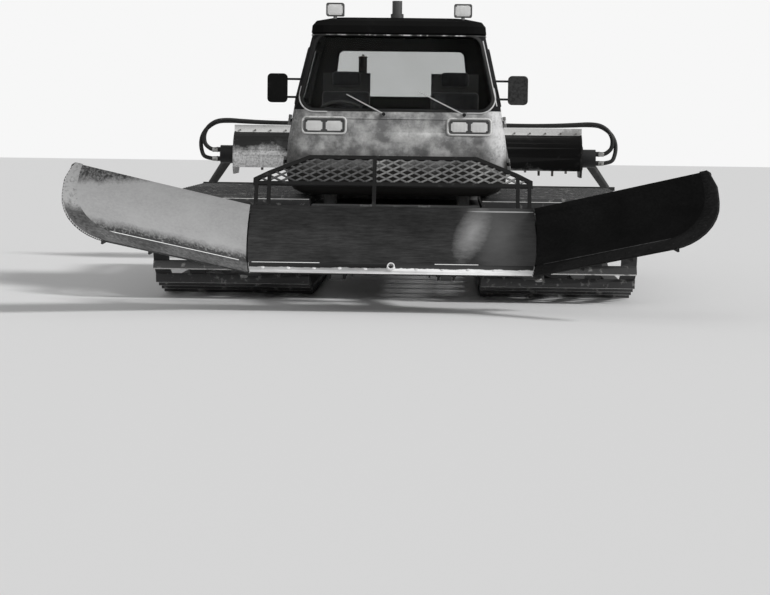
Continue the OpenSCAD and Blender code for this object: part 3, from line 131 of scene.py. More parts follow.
# The frame, the deck, the axle tubes and the lifting arms: welded steel, painted dark grey, sprayed in one
# coat and since then dulled by meltwater, with paler dust in the paint's pores and bare scratches.
def new_group(name, inputs, outputs):
    """A node group. An input given as a tuple is a colour, one given as None is a direction."""
    group = bpy.data.node_groups.new(name, "ShaderNodeTree")
    for label, value in inputs.items():
        kind = "Vector" if value is None else "Color" if isinstance(value, tuple) else "Float"
        socket = group.interface.new_socket(name=label, in_out="INPUT", socket_type="NodeSocket" + kind)
        if value is not None:
            socket.default_value = value
    for label, kind in outputs.items():
        group.interface.new_socket(name=label, in_out="OUTPUT", socket_type="NodeSocket" + kind)
    return group, group.nodes.new("NodeGroupInput").outputs, group.nodes.new("NodeGroupOutput")


def own_place(tree):
    """The place on the piece, in the machine's own coordinates."""
    return new_node(tree, "TexCoord").outputs["Object"]


def one_axis(tree, vector, axis):
    """One coordinate of a place or of a direction."""
    return new_node(tree, "SeparateXYZ", {"Vector": vector}).outputs[axis]


def math_result(tree, operation, *terms, clamp=False):
    """Terms put together by a Math node."""
    return new_node(tree, "Math", dict(enumerate(terms)), operation=operation, use_clamp=clamp).outputs[0]


def mixed(tree, factor, first, second, kind="RGBA"):
    """A mix of two colours or two numbers."""
    made = new_node(tree, "Mix", {"Factor": factor, "A": first, "B": second}, data_type=kind)
    return made.outputs["Result"]


def spread(tree, value, low, high, to_low=0.0, to_high=1.0):
    """A value stretched from one range over another, and held within it."""
    return new_node(tree, "MapRange", {
        "Value": value, "From Min": low, "From Max": high, "To Min": to_low, "To Max": to_high,
    }).outputs["Result"]


def clouds(tree, place, scale, detail, roughness=0.5):
    """Cloudy patches."""
    return new_node(tree, "TexNoise", {
        "Vector": place, "Scale": scale, "Detail": detail, "Roughness": roughness,
    }).outputs["Fac"]


def build_aged_surface():
    """Node group: a colour that wears to another in patches, and gathers dust on what faces up."""
    group, given, result = new_group("aged_surface", {
        "Fresh Colour": (0.5, 0.5, 0.5, 1), "Worn Colour": (0.6, 0.6, 0.6, 1),
        "Dust Colour": (0.45, 0.44, 0.42, 1), "Wear": 0.3, "Dust": 0.3, "Scale": 3.0,
        "Fresh Roughness": 0.4, "Worn Roughness": 0.6, "Softness": 0.09,
    }, {"Colour": "Color", "Roughness": "Float", "Height": "Float"})
    place = own_place(group)
    patches = clouds(group, place, given["Scale"], 8.0, 0.62)
    edge = math_result(group, "MULTIPLY_ADD", given["Wear"], -0.45, 0.72)
    worn = spread(group, patches, edge, math_result(group, "ADD", edge, given["Softness"]))
    surface = mixed(group, worn, given["Fresh Colour"], given["Worn Colour"])
    facing = one_axis(group, new_node(group, "NewGeometry").outputs["Normal"], "Z")
    upward = spread(group, facing, 0.25, 0.95)
    film = math_result(group, "MULTIPLY_ADD", upward, 0.6, clouds(group, place, 1.7, 6.0))
    dust = math_result(group, "MULTIPLY", film, given["Dust"], clamp=True)
    dusty = mixed(group, dust, surface, given["Dust Colour"])
    grain = clouds(group, place, 160.0, 4.0)
    tone = spread(group, grain, 0.3, 0.7, 0.86, 1.12)
    polish = mixed(group, worn, given["Fresh Roughness"], given["Worn Roughness"], "FLOAT")
    feed(group, result, {
        "Colour": new_node(group, "VectorMath", {0: dusty, "Scale": tone}, operation="SCALE").outputs[0],
        "Roughness": math_result(group, "MULTIPLY_ADD", dust, 0.25, polish, clamp=True),
        "Height": math_result(group, "MULTIPLY_ADD", worn, -0.5, grain),
    })
    return group


aged_surface = build_aged_surface()


def rgba(colour):
    """A colour as a socket takes it. A plain grey is written as one number."""
    return (*colour, 1) if isinstance(colour, tuple) else (colour, colour, colour, 1)


def coat(material, colour, roughness, height, strength, depth):
    """Joins a finish's colour, roughness and relief to its shader."""
    tree, shader = shader_of(material)
    relief = new_node(tree, "Bump", {"Strength": strength, "Distance": depth, "Height": height})
    feed(tree, shader, {"Base Color": colour, "Roughness": roughness, "Normal": relief.outputs["Normal"]})


def aged_finish(name, fresh, worn, wear, dust, scale, roughness, metal=0.0, bump=0.12,
                dust_colour=(0.45, 0.45, 0.44), shine=0.5, softness=0.09):
    """A painted, moulded or bare surface with its wear and dust."""
    made = new_material(name, {"Metallic": metal, "Specular IOR Level": shine})
    age = new_node(made.node_tree, "Group", {
        "Fresh Colour": rgba(fresh), "Worn Colour": rgba(worn), "Dust Colour": rgba(dust_colour),
        "Wear": wear, "Dust": dust, "Scale": scale, "Fresh Roughness": roughness[0],
        "Worn Roughness": roughness[1], "Softness": softness,
    }, node_tree=aged_surface).outputs
    coat(made, age["Colour"], age["Roughness"], age["Height"], bump, 0.002)
    return made


def dress(material, *names):
    """Gives CAD nodes their finish."""
    for name in names:
        mesh = nodes[name].data
        for i in range(len(mesh.materials)):
            mesh.materials[i] = material
        if not mesh.materials:
            mesh.materials.append(material)


def build_banded_stain():
    """Node group: a colour that turns to a mottled second one beyond a ragged line."""
    group, given, result = new_group("banded_stain_and_shade", {
        "Clean Colour": (0.3, 0.3, 0.3, 1), "Stain And Shade Colour": (0.05, 0.05, 0.05, 1), "Direction": None,
        "Start": 0.0, "Full": 1.0, "Ragged": 0.05, "Strength": 1.0,
    }, {"Colour": "Color"})
    place = own_place(group)
    far = new_node(group, "VectorMath", {0: place, 1: given["Direction"]}, operation="DOT_PRODUCT")
    swell = math_result(group, "SUBTRACT", clouds(group, place, 5.0, 7.0, 0.7), 0.5)
    line = math_result(group, "MULTIPLY_ADD", swell, given["Ragged"], far.outputs["Value"])
    band = spread(group, line, given["Start"], given["Full"])
    mottle = spread(group, clouds(group, place, 45.0, 6.0, 0.7), 0.34, 0.56, 0.35)
    cover = math_result(group, "MULTIPLY", band, mottle)
    amount = math_result(group, "MULTIPLY", cover, given["Strength"], clamp=True)
    feed(group, result, {"Colour": mixed(group, amount, given["Clean Colour"], given["Stain And Shade Colour"])})
    return group


banded_stain_and_shade = build_banded_stain()


def stain_and_shade_band(material, tone, direction, start, full, ragged=0.05, strength=1.0):
    """Lays a ragged, mottled band over a finish, from a start to a full height along a direction."""
    tree, shader = shader_of(material)
    band = new_node(tree, "Group", {
        "Clean Colour": shader.inputs["Base Color"].links[0].from_socket, "Stain And Shade Colour": rgba(tone),
        "Direction": direction, "Start": start, "Full": full, "Ragged": ragged, "Strength": strength,
    }, node_tree=banded_stain_and_shade)
    feed(tree, shader, {"Base Color": band.outputs["Colour"]})


frame_paint = aged_finish("frame_paint", (0.026, 0.027, 0.028), 0.13, 0.25, 0.16, 4.0, (0.42, 0.6))
dress(frame_paint, "chassis_frame", "axle_tubes", "final_drives", "deck_frame", "lift_frame", "rear_arms",
      "rear_links", "load_bed", "tow_hitch")

# Final drives, sprockets, rims and tyres: steel drive housings bolted to the rails, pressed steel rims in a
# pale paint and solid black tyres that run on the belts' inner faces.
sprocket_paint = aged_finish("sprocket_paint", (0.06, 0.06, 0.062), 0.2, 0.35, 0.4, 9.0, (0.5, 0.6))
rim_paint = aged_finish("rim_paint", (0.42, 0.42, 0.41), (0.16, 0.15, 0.14), 0.3, 0.5, 8.0, (0.45, 0.7))
tyre_rubber = aged_finish("tyre_rubber", (0.013, 0.013, 0.014), 0.045, 0.35, 0.16, 12.0, (0.7, 0.85),
                          shine=0.25)
dress(sprocket_paint, "sprockets")
dress(rim_paint, "road_rims")
dress(tyre_rubber, "road_tyres")

# Wheel nuts and hub caps: eight nuts round a pressed cap on each rim's outer face, zinc plated and dulled.
# The front idler is larger than the five road wheels behind it and stands higher.
def new_piece(name, bm, material, body, smooth=None, replaces=()):
    """Turns a finished bmesh into a piece that rides on a body."""
    bmesh.ops.recalc_face_normals(bm, faces=bm.faces)
    mesh = bpy.data.meshes.new(name)
    bm.to_mesh(mesh)
    bm.free()
    materials = material if isinstance(material, (list, tuple)) else [material]
    for m in materials:
        mesh.materials.append(m)
    thing = bpy.data.objects.new(name, mesh)
    bpy.context.collection.objects.link(thing)
    if smooth:
        mesh.shade_smooth()
        mesh.set_sharp_from_angle(angle=math.radians(smooth))
    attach(thing, body)
    if replaces:
        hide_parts(*replaces)


def standing(at, way):
    """A place whose Z axis stands along a direction."""
    return Matrix.Translation(Vector(at)) @ Vector(way).to_track_quat("Z", "Y").to_matrix().to_4x4()


def add_hex_head(bm, at, way, across=0.024, height=0.012, sides=6):
    """A bolt head on a face, its axis along a direction, slightly sunk."""
    place = standing(at, way) @ Matrix.Translation((0, 0, height / 2 - 0.002))
    bmesh.ops.create_cone(bm, cap_ends=True, segments=sides, radius1=across / 2, radius2=across / 2 * 0.94,
                          depth=height + 0.004, matrix=place)


bolt_steel = aged_finish("bolt_steel", (0.30, 0.29, 0.28), (0.12, 0.09, 0.07), 0.45, 0.2, 40.0, (0.38, 0.7),
                         metal=0.8)
nuts, caps = bmesh.new(), bmesh.new()
idler_y, idler_z, idler_r = 1.680, 0.490, 0.290
wheel_r, wheel_z, wheel_pitch = 0.250, 0.334, 0.575
track_x = 1.360
nut_ring = 0.074
for side in (-1, 1):
    for y, z in [(-idler_y, idler_z)] + [((i - 2) * wheel_pitch, wheel_z) for i in range(5)]:
        for k in range(8):
            a = (k + 0.5) * math.pi / 4
            spot = (side * (track_x + 0.0055), y + nut_ring * math.cos(a), z + nut_ring * math.sin(a))
            add_hex_head(nuts, spot, (side, 0, 0), height=0.016)
        turn = Matrix.Rotation(math.radians(90 * side), 4, "Y")
        place = Matrix.Translation((side * (track_x + 0.020), y, z)) @ turn
        made = bmesh.ops.create_cone(caps, cap_ends=True, segments=32, radius1=0.052, radius2=0.040,
                                     depth=0.040, matrix=place)["verts"]
        rim = [e for e in caps.edges if all(v in made and abs(v.co.x) > track_x + 0.030 for v in e.verts)]
        bmesh.ops.bevel(caps, geom=rim, offset=0.008, segments=3, profile=0.5, affect="EDGES", material=-1)
new_piece("wheel_nuts", nuts, bolt_steel, "chassis")
new_piece("hub_caps", caps, rim_paint, "chassis", smooth=40)

# The tracks: rubber belts under bolted metal crossbars. The belts are black rubber, dulled by dried mud, the
# crossbars are painted near black as painted shade from the blade, and their tips are worn bright by the snow
# and pale with a painted highlight.
belt_rubber = aged_finish("belt_rubber", (0.010, 0.010, 0.011), 0.035, 0.35, 0.12, 14.0, (0.72, 0.88),
                          bump=0.3, shine=0.25)
# Painted shade: the crossbars' near-black colour stands for the blade's shadow over the tracks.
shaded_crossbar_metal = aged_finish("shaded_crossbar_metal", (0.035, 0.035, 0.036), (0.34, 0.34, 0.33), 0.34, 0.10, 16.0,
                             (0.4, 0.55), metal=0.5, bump=0.3, softness=0.16)
# Painted highlight: the tips' pale colour, together with their real wear.
worn_and_lit_bar_tip_metal = aged_finish("worn_and_lit_bar_tip_metal", (0.74, 0.74, 0.73), 0.20, 0.38, 0.1, 12.0, (0.38, 0.55),
                            metal=0.3, bump=0.3, softness=0.12)
belt_t = 0.014  # the belt's thickness
turns = [(-idler_y, idler_z, idler_r), (-2 * wheel_pitch, wheel_z, wheel_r),
         (2 * wheel_pitch, wheel_z, wheel_r), (idler_y, idler_z, idler_r)]


def run_direction(i):
    """Outward direction of the straight run that leaves a turning point."""
    y0, z0, r0 = turns[i % 4]
    y1, z1, r1 = turns[(i + 1) % 4]
    return math.atan2(z1 - z0, y1 - y0) - math.acos((r0 - r1) / math.hypot(y1 - y0, z1 - z0))


def way_out(y, z):
    """How far a point lies outside the wheels' faces, measured square to the belts."""
    best = math.inf
    for i in range(4):
        y0, z0, r0 = turns[i]
        n = run_direction(i)
        dy, dz = y - y0, z - z0
        along = -dy * math.sin(n) + dz * math.cos(n)
        y1, z1, r1 = turns[(i + 1) % 4]
        length = math.sqrt((y1 - y0) ** 2 + (z1 - z0) ** 2 - (r0 - r1) ** 2)
        if -0.001 <= along <= length + 0.001:
            best = min(best, abs(dy * math.cos(n) + dz * math.sin(n) - r0))
        before = run_direction(i - 1)
        bend = (n - before) % (2 * math.pi)
        if (math.atan2(dz, dy) - before) % (2 * math.pi) <= bend:
            best = min(best, abs(math.hypot(dy, dz) - r0))
    return best


def dressed_copy(name, materials, choose, body):
    """A copy of a CAD node whose faces are sorted between several materials, put in the node's place."""
    bm = bmesh.new()
    bm.from_mesh(nodes[name].data)
    bmesh.ops.remove_doubles(bm, verts=bm.verts, dist=0.00002)
    for face in bm.faces:
        face.material_index = choose(face.calc_center_median(), face.normal)
    new_piece(name + "_dressed", bm, materials, body, smooth=30, replaces=(name,))


belt_pitch, belt_half, tip_height = 0.2875, 0.065, 0.068


def belt_or_bar(spot, normal):
    """The belts' faces are 1, the crossbars' are 0 and their tips, worn and with a painted highlight, 2."""
    across = abs(((abs(spot.x) - track_x) / belt_pitch + 0.5) % 1 - 0.5) * belt_pitch
    out = way_out(spot.y, spot.z)
    if out > belt_t + tip_height:
        return 2
    return int(across < belt_half + 0.001 and out < belt_t + 0.0012)


for name in ("track_left", "track_right"):
    dressed_copy(name, [shaded_crossbar_metal, belt_rubber, worn_and_lit_bar_tip_metal], belt_or_bar, "chassis")

# The cab: a welded steel shell with two doors, sprayed grey up to the windows' foot and black above it, with
# a thin rubber seal round each window. The grey is chalky and blotched, painted paler on its right corner as
# painted light and darker on its left corner as painted shade, and darker at its foot, painted shade under the
# guard together with road grime.
def overlay(material, amount, colour):
    """Lays another colour over a finish where a mask says so."""
    tree, shader = shader_of(material)
    under = shader.inputs["Base Color"].links[0].from_socket
    feed(tree, shader, {"Base Color": mixed(tree, amount, under, rgba(colour))})


cab_paint = aged_finish("cab_paint", 0.15, (0.62, 0.62, 0.61), 0.68, 0.12, 6.5, (0.42, 0.65), bump=0.08,
                        dust_colour=0.55, shine=0.15, softness=0.30)
# Painted light and shade: the right corner paler, where the lamp catches it, and the left corner darker, in
# shade.
stain_and_shade_band(cab_paint, 0.66, (1.0, 0.0, 0.0), 0.70, 0.80, ragged=0.10, strength=0.8)
stain_and_shade_band(cab_paint, 0.05, (-1.0, 0.0, 0.10), 0.90, 1.00, ragged=0.12, strength=0.7)
tree, shader = shader_of(cab_paint)
place = own_place(tree)
height = one_axis(tree, place, "Z")
# Painted shade and road grime: darker towards the cab's foot, behind the guard.
grime_and_shade_reach = math_result(tree, "MULTIPLY_ADD", clouds(tree, place, 7.0, 7.0), -0.35, height)
overlay(cab_paint, spread(tree, grime_and_shade_reach, 1.14, 0.92), (0.020, 0.019, 0.018))
black_from = 1.588
masked_edge = spread(tree, height, black_from - 0.001, black_from + 0.001)
overlay(cab_paint, masked_edge, (0.009, 0.009, 0.010))
grey_roughness = shader.inputs["Roughness"].links[0].from_socket
duller_black = math_result(tree, "MULTIPLY_ADD", masked_edge, 0.40, grey_roughness, clamp=True)
feed(tree, shader, {"Roughness": duller_black})
# The faces inside the cab are near black: a dark lining, darkened further as painted shade inside the cab.
cab_lining_and_shade = aged_finish("cab_lining_and_shade", 0.012, 0.025, 0.3, 0.1, 12.0, (0.85, 0.9), shine=0.2)
hinge_paint = aged_finish("hinge_paint", 0.10, (0.22, 0.21, 0.20), 0.35, 0.2, 20.0, (0.4, 0.6))
dress(hinge_paint, "cab_mounts")


def inside_or_out(spot, normal):
    """Faces that look in towards the seats are 1, the painted outside is 0."""
    inward = Vector((-spot.x, -1.0 - spot.y, 1.55 - spot.z)).normalized()
    return int(normal.dot(inward) > 0.25 and abs(spot.x) < 0.895 and -1.768 < spot.y < -0.285)


for name, body in (("cab_shell", "chassis"), ("door_left", "door_left"), ("door_right", "door_right")):
    dressed_copy(name, [cab_paint, cab_lining_and_shade], inside_or_out, body)
seal_rubber = aged_finish("seal_rubber", 0.006, 0.02, 0.3, 0.08, 30.0, (0.7, 0.8), shine=0.1)
pale_seal = aged_finish("pale_seal", 0.55, 0.30, 0.3, 0.15, 30.0, (0.5, 0.7))


def skin_of(*names):
    """A tree of the outer faces of CAD nodes, to set trim down on."""
    verts, faces = [], []
    for name in names:
        mesh = nodes[name].data
        start = len(verts)
        verts += [v.co.copy() for v in mesh.vertices]
        faces += [[start + i for i in f.vertices] for f in mesh.polygons]
    return BVHTree.FromPolygons(verts, faces)


def set_down(tree, points, way, out=0.0):
    """Drops points along a direction on to a skin and lifts them off it by a little."""
    laid = []
    way = Vector(way).normalized()
    for p in points:
        hit, normal = tree.ray_cast(Vector(p), way)[:2]
        if hit is not None:
            if normal.dot(way) > 0:
                normal = -normal
            laid.append(hit + normal * out)
    return laid


def rounded_path(corners, r, n=6, grow=0.0):
    """The closed outline through corners, each rounded to a radius, moved outwards by grow."""
    pts = []
    m = len(corners)
    radii = r if isinstance(r, (list, tuple)) else [r] * m
    for i in range(m):
        r = radii[i]
        a, p, b = (Vector(corners[(i + k) % m]) for k in (-1, 0, 1))
        u, v = (a - p).normalized(), (b - p).normalized()
        half = math.acos(max(-1, min(1, u.dot(v)))) / 2
        reach = r / math.tan(half)
        centre = p + (u + v).normalized() * (r / math.sin(half))
        p0, p1 = p + u * reach, p + v * reach
        a0 = math.atan2(*(p0 - centre).yx)
        a1 = math.atan2(*(p1 - centre).yx)
        turn = (a1 - a0 + math.pi) % (2 * math.pi) - math.pi
        for k in range(n + 1):
            t = a0 + turn * k / n
            pts.append(centre + (r + grow) * Vector((math.cos(t), math.sin(t))))
    return pts


def refine(outline, step):
    """Adds points so that no stretch of a closed outline is longer than a step."""
    finer = []
    for a, b in zip(outline, outline[1:] + outline[:1]):
        n = max(1, math.ceil((b - a).length / step))
        finer += [a.lerp(b, k / n) for k in range(n)]
    return finer


def new_tube(name, points, radius, material, body, closed=False, sides=2, replaces=()):
    """A round tube, rod or bead along points."""
    line = bpy.data.curves.new(name, "CURVE")
    line.dimensions = "3D"
    spline = line.splines.new("POLY")
    spline.points.add(len(points) - 1)
    for spot, p in zip(spline.points, points):
        spot.co = (*p, 1)
    spline.use_cyclic_u = closed
    line.bevel_depth = radius
    line.bevel_resolution = sides
    line.use_fill_caps = not closed
    holder = bpy.data.objects.new(name + "_line", line)
    bpy.context.collection.objects.link(holder)
    bpy.context.view_layer.update()
    mesh = bpy.data.meshes.new_from_object(holder.evaluated_get(bpy.context.evaluated_depsgraph_get()))
    bpy.data.objects.remove(holder)
    bm = bmesh.new()
    bm.from_mesh(mesh)
    bmesh.ops.remove_doubles(bm, verts=bm.verts, dist=0.00005)
    new_piece(name, bm, material, body, smooth=50, replaces=replaces)


def on_front(skin, spots, lift=0.0):
    """Points (x, z) laid on a skin from in front of the cab."""
    return set_down(skin, [(x, -2.2, z) for x, z in spots], (0, 1, 0), lift)


def on_side(skin, side, spots, lift=0.0):
    """Points (y, z) laid on a skin from one side of the cab."""
    return set_down(skin, [(side * 1.3, y, z) for y, z in spots], (-side, 0, 0), lift)


def bridge_rows(bm, rows):
    """A skin over closed rows of points, each row bridged to the next."""
    rings = []
    for row in rows:
        verts = [bm.verts.new(p) for p in row]
        rings.append([bm.edges.new((a, b)) for a, b in zip(verts, verts[1:] + verts[:1])])
    for low, high in zip(rings, rings[1:]):
        bmesh.ops.bridge_loops(bm, edges=low + high)


SIDES = ((-1, "left"), (1, "right"))
shell_skin = skin_of("cab_shell")
screen = [(-0.808, 1.602), (0.808, 1.602), (0.672, 2.206), (-0.672, 2.206)]
path = refine(rounded_path(screen, 0.095), 0.05)
screen_middle = Vector((0, 1.904))
rows = []
for reach, lift in ((0.004, -0.003), (0.004, 0.003), (0.014, 0.0035), (0.026, 0.0025), (0.026, -0.002)):
    row = []
    for i, spot in enumerate(path):
        along = path[(i + 1) % len(path)] - path[i - 1]
        away = Vector((along.y, -along.x)).normalized()
        row.append(spot + away * math.copysign(reach, away.dot(spot - screen_middle)))
    rows.append(on_front(shell_skin, row, lift))
border = bmesh.new()
bridge_rows(border, rows)
new_piece("screen_seal", border, seal_rubber, "chassis", smooth=40)
# Painted light and shade: the right pillar's pale line is a painted highlight on its corner, and the left
# pillar's black line is painted shade.
for side, name, finish in ((-1, "left", seal_rubber), (1, "right", pale_seal)):
    post = [(side * (0.832 - 0.2217 * (z - 1.617)), z) for z in [1.63 + 0.0455 * i for i in range(13)]]
    new_tube("pillar_shade_and_highlight_" + name, on_front(shell_skin, post, 0.002), 0.0055, finish, "chassis", sides=3)
bead = rounded_path(screen, 0.095, n=10, grow=0.032)
for side, name in SIDES:
    corner = sorted((p for p in bead if side * p.x > 0.6 and p.y < 1.75), key=lambda p: side * p.x + p.y)
    corner = [(side * 0.58, 1.570), *corner, (side * 0.802, 1.78)]
    new_tube("screen_bead_" + name, on_front(shell_skin, corner, 0.003), 0.006, pale_seal, "chassis")
rear_window = [(-0.6, 1.716), (0.6, 1.716), (0.555, 2.120), (-0.555, 2.120)]
path = refine(rounded_path(rear_window, 0.05, grow=0.008), 0.06)
new_tube("rear_window_seal", set_down(shell_skin, [(x, 0.2, z) for x, z in path], (0, -1, 0), 0.003), 0.010,
         seal_rubber, "chassis", closed=True)
for side, name in SIDES:
    quarter = [(-0.61, 1.64), (-0.36, 1.64), (-0.38, 2.10), (-0.62, 2.10)]
    door_window = [(-1.545, 1.64), (-0.77, 1.64), (-0.778, 2.10), (-1.395, 2.10)]
    for window, node, body, corners in (("quarter_seal_", "cab_shell", "chassis", quarter),
                                        ("door_window_seal_", "door_" + name, "door_" + name, door_window)):
        path = refine(rounded_path(corners, 0.045, grow=0.007), 0.06)
        laid = on_side(skin_of(node), side, path, 0.003)
        new_tube(window + name, laid, 0.009, seal_rubber, body, closed=True)

# The crease: a bead pressed into the cab's sheet, which runs round its front above the lamps. It carries the
# cab's own paint.
crease = [(x / 100, 1.5165) for x in range(-72, 73, 4)]
new_tube("cab_crease", on_front(shell_skin, crease), 0.006, cab_paint, "chassis")

# The roof: a black moulded cap over a dark gutter, with a drip strip along the gutter's foot, dark with broken
# bright patches that are a painted reflection. The gutter is bridged from four outlines of the cab's plan.
roof_plastic = aged_finish("roof_plastic", 0.003, 0.007, 0.3, 0.012, 3.0, (0.8, 0.9), shine=0.02)
# Painted reflection: the drip strip's broken bright patches.
bright_strip = aged_finish("bright_strip", 0.02, 0.85, 0.50, 0.05, 9.0, (0.4, 0.5))
dress(roof_plastic, "cab_roof")


def cab_outline(z, out):
    """The cab's plan outline at a height, moved outwards: half width, front and rear of the shell."""
    low, high = (1.617, 0.864, -1.752, -0.254), (2.235, 0.727, -1.538, -0.290)
    t = (z - low[0]) / (high[0] - low[0])
    w, front, rear = (a + (b - a) * t for a, b in zip(low[1:], high[1:]))
    corners = [(w, front), (-w, front), (-w, rear), (w, rear)]
    ring = rounded_path(corners, (0.15, 0.15, 0.08, 0.08), n=8, grow=out)
    return [Vector((p.x, p.y, z)) for p in ring]


gutter = bmesh.new()
gutter_section = ((2.216, 0.001), (2.2165, 0.005), (2.2345, 0.005), (2.2345, -0.004))
bridge_rows(gutter, [cab_outline(z, out) for z, out in gutter_section])
new_piece("roof_gutter", gutter, roof_plastic, "chassis", smooth=40)
new_tube("drip_strip", cab_outline(2.2165, 0.004), 0.005, bright_strip, "chassis", closed=True)

# The glass: flat tinted safety glass in the shell and the doors. Its sheets come from the CAD, and here they
# get their tint and a cloudy film of dust.
def toned(colour, factors):
    """A colour made darker or paler, channel by channel."""
    return (*(c * f for c, f in zip(colour, factors)), 1)


def build_glass(name, tint):
    """Tinted glass under a cloudy film."""
    made = new_material(name, {"Transmission Weight": 1.0, "IOR": 1.10, "Roughness": 0.0})
    tree, shader = shader_of(made)
    film = clouds(tree, own_place(tree), 2.5, 9.0)
    feed(tree, shader, {"Base Color": mixed(tree, film, rgba(tint), toned(tint, (0.82, 0.82, 0.81)))})
    return made


cab_glass = build_glass("cab_glass", (0.72, 0.73, 0.73))
dress(cab_glass, "windscreen", "cab_windows", "door_glass_left", "door_glass_right")

# Twin headlamps on each side: ribbed clear lenses over bright reflectors, set in a dark moulded surround
# inside a pressed pale bezel.
lamp_housing = aged_finish("lamp_housing", (0.02, 0.02, 0.021), 0.06, 0.3, 0.2, 20.0, (0.4, 0.6))
reflector = aged_finish("reflector", (0.86, 0.86, 0.85), 0.6, 0.15, 0.05, 20.0, (0.12, 0.25), metal=0.9)
pale_trim = aged_finish("pale_trim", (0.62, 0.62, 0.61), (0.40, 0.40, 0.39), 0.3, 0.1, 14.0, (0.35, 0.5))
dress(lamp_housing, "headlamps")


def stretched(tree, place, scale):
    """The place, scaled so that a pattern on it is drawn out."""
    return new_node(tree, "Mapping", {"Vector": place, "Scale": scale}).outputs["Vector"]


def build_lens(name, tint, rib_scale, see_through=0.45):
    """Moulded lamp lens with upright ribs."""
    made = new_material(name, {"Transmission Weight": see_through, "IOR": 1.49})
    tree = made.node_tree
    place = own_place(tree)
    ribs = new_node(tree, "TexWave", {
        "Vector": stretched(tree, place, (1.0, 0.12, 0.12)), "Scale": rib_scale, "Distortion": 0.3,
    })
    dust = clouds(tree, place, 22.0, 6.0)
    colour = mixed(tree, dust, rgba(tint), toned(tint, (0.86, 0.86, 0.86)))
    coat(made, colour, spread(tree, dust, 0.0, 1.0, 0.06, 0.3), ribs.outputs["Fac"], 0.5, 0.002)
    return made


lamp_lens = build_lens("lamp_lens", (0.95, 0.95, 0.94), 28.0, see_through=0.25)


def crowned_lens(bm, width, height, crown, thick, place):
    """A lens with rounded corners and a crowned face, its back flat, facing -Y."""
    before = set(bm.verts)
    verts = bmesh.ops.create_grid(bm, x_segments=12, y_segments=8, size=0.5)["verts"]
    for v in verts:
        x, z = v.co.x * 2, v.co.y * 2
        limit = 1 - 0.10 * max(0, abs(x) - 0.82) / 0.18 * max(0, abs(z) - 0.7) / 0.3 * 4
        v.co = Vector((x * width / 2 * min(1, limit + 0.35 * (1 - abs(z))),
                       -crown * (1 - x * x) * (1 - z * z), z * height / 2 * limit))
    bmesh.ops.solidify(bm, geom=list({f for v in verts for f in v.link_faces}), thickness=thick)
    bmesh.ops.transform(bm, matrix=place, verts=[v for v in bm.verts if v not in before])


lenses, bowls = bmesh.new(), bmesh.new()
lamp_out, lamp_z, bowl_r = 0.603, 1.456, 0.036
for x, y in [(side * lamp_out + part * 0.0825, -1.7925) for side in (-1, 1) for part in (-1, 1)]:
    crowned_lens(lenses, 0.138, 0.079, 0.004, 0.003, Matrix.Translation((x, y, lamp_z)))
    place = Matrix.Translation((x, y + 0.0025, lamp_z)) @ Matrix.Rotation(math.radians(90), 4, "X")
    made = bmesh.ops.create_circle(bowls, cap_ends=False, segments=32, radius=bowl_r, matrix=place)["verts"]
    edges = list({e for v in made for e in v.link_edges})
    for reach, depth in ((0.85, 0.002), (0.6, 0.0038), (0.3, 0.0048)):
        grown = bmesh.ops.extrude_edge_only(bowls, edges=edges)["geom"]
        edges = [g for g in grown if isinstance(g, bmesh.types.BMEdge)]
        for v in [g for g in grown if isinstance(g, bmesh.types.BMVert)]:
            away = Vector((v.co.x - x, v.co.z - lamp_z)).normalized() * bowl_r * reach
            v.co = Vector((x + away.x, y + 0.0025 + depth, lamp_z + away.y))
    bmesh.ops.edgeloop_fill(bowls, edges=edges)
new_piece("headlamp_lenses", lenses, lamp_lens, "chassis", smooth=40)
new_piece("headlamp_bowls", bowls, reflector, "chassis", smooth=60)
for side, name in SIDES:
    x0, x1, z0, z1 = side * lamp_out - 0.179, side * lamp_out + 0.179, 1.389, 1.523
    ring = refine(rounded_path([(x0, z0), (x1, z0), (x1, z1), (x0, z1)], 0.03, n=5), 0.05)
    new_tube("headlamp_bezel_" + name, on_front(shell_skin, ring, 0.002), 0.0095, pale_trim, "chassis",
             closed=True)

# Inside the cab: a moulded dashboard with an instrument binnacle, a console with levers, a padded steering
# wheel and two seats on sheet metal boxes.
dash_plastic = aged_finish("dash_plastic", (0.03, 0.03, 0.031), 0.07, 0.3, 0.2, 8.0, (0.6, 0.7))
seat_paint = aged_finish("seat_paint", 0.03, 0.08, 0.3, 0.2, 10.0, (0.5, 0.7))
dress(dash_plastic, "dashboard", "steering_wheel")
dress(seat_paint, "seat_frames")


def build_cloth(name, colour, thread):
    """Woven seat cloth: crossed ribs of yarn with a soft sheen and worn, paler crowns."""
    made = new_material(name, {"Sheen Weight": 0.35, "Sheen Roughness": 0.5})
    tree = made.node_tree
    place = own_place(tree)
    yarn = {"Vector": place, "Scale": thread, "Distortion": 0.8, "Detail": 2.0}
    ribs = [new_node(tree, "TexWave", yarn, bands_direction=axis).outputs["Fac"] for axis in ("X", "Z")]
    weave = math_result(tree, "MULTIPLY", *ribs)
    shade = mixed(tree, clouds(tree, place, 7.0, 6.0), rgba(colour), toned(colour, (2.4, 2.4, 2.3)))
    coat(made, shade, spread(tree, weave, 0.0, 1.0, 0.75, 0.95), weave, 0.4, 0.001)
    return made


seat_cloth = build_cloth("seat_cloth", (0.028, 0.029, 0.033), 90.0)


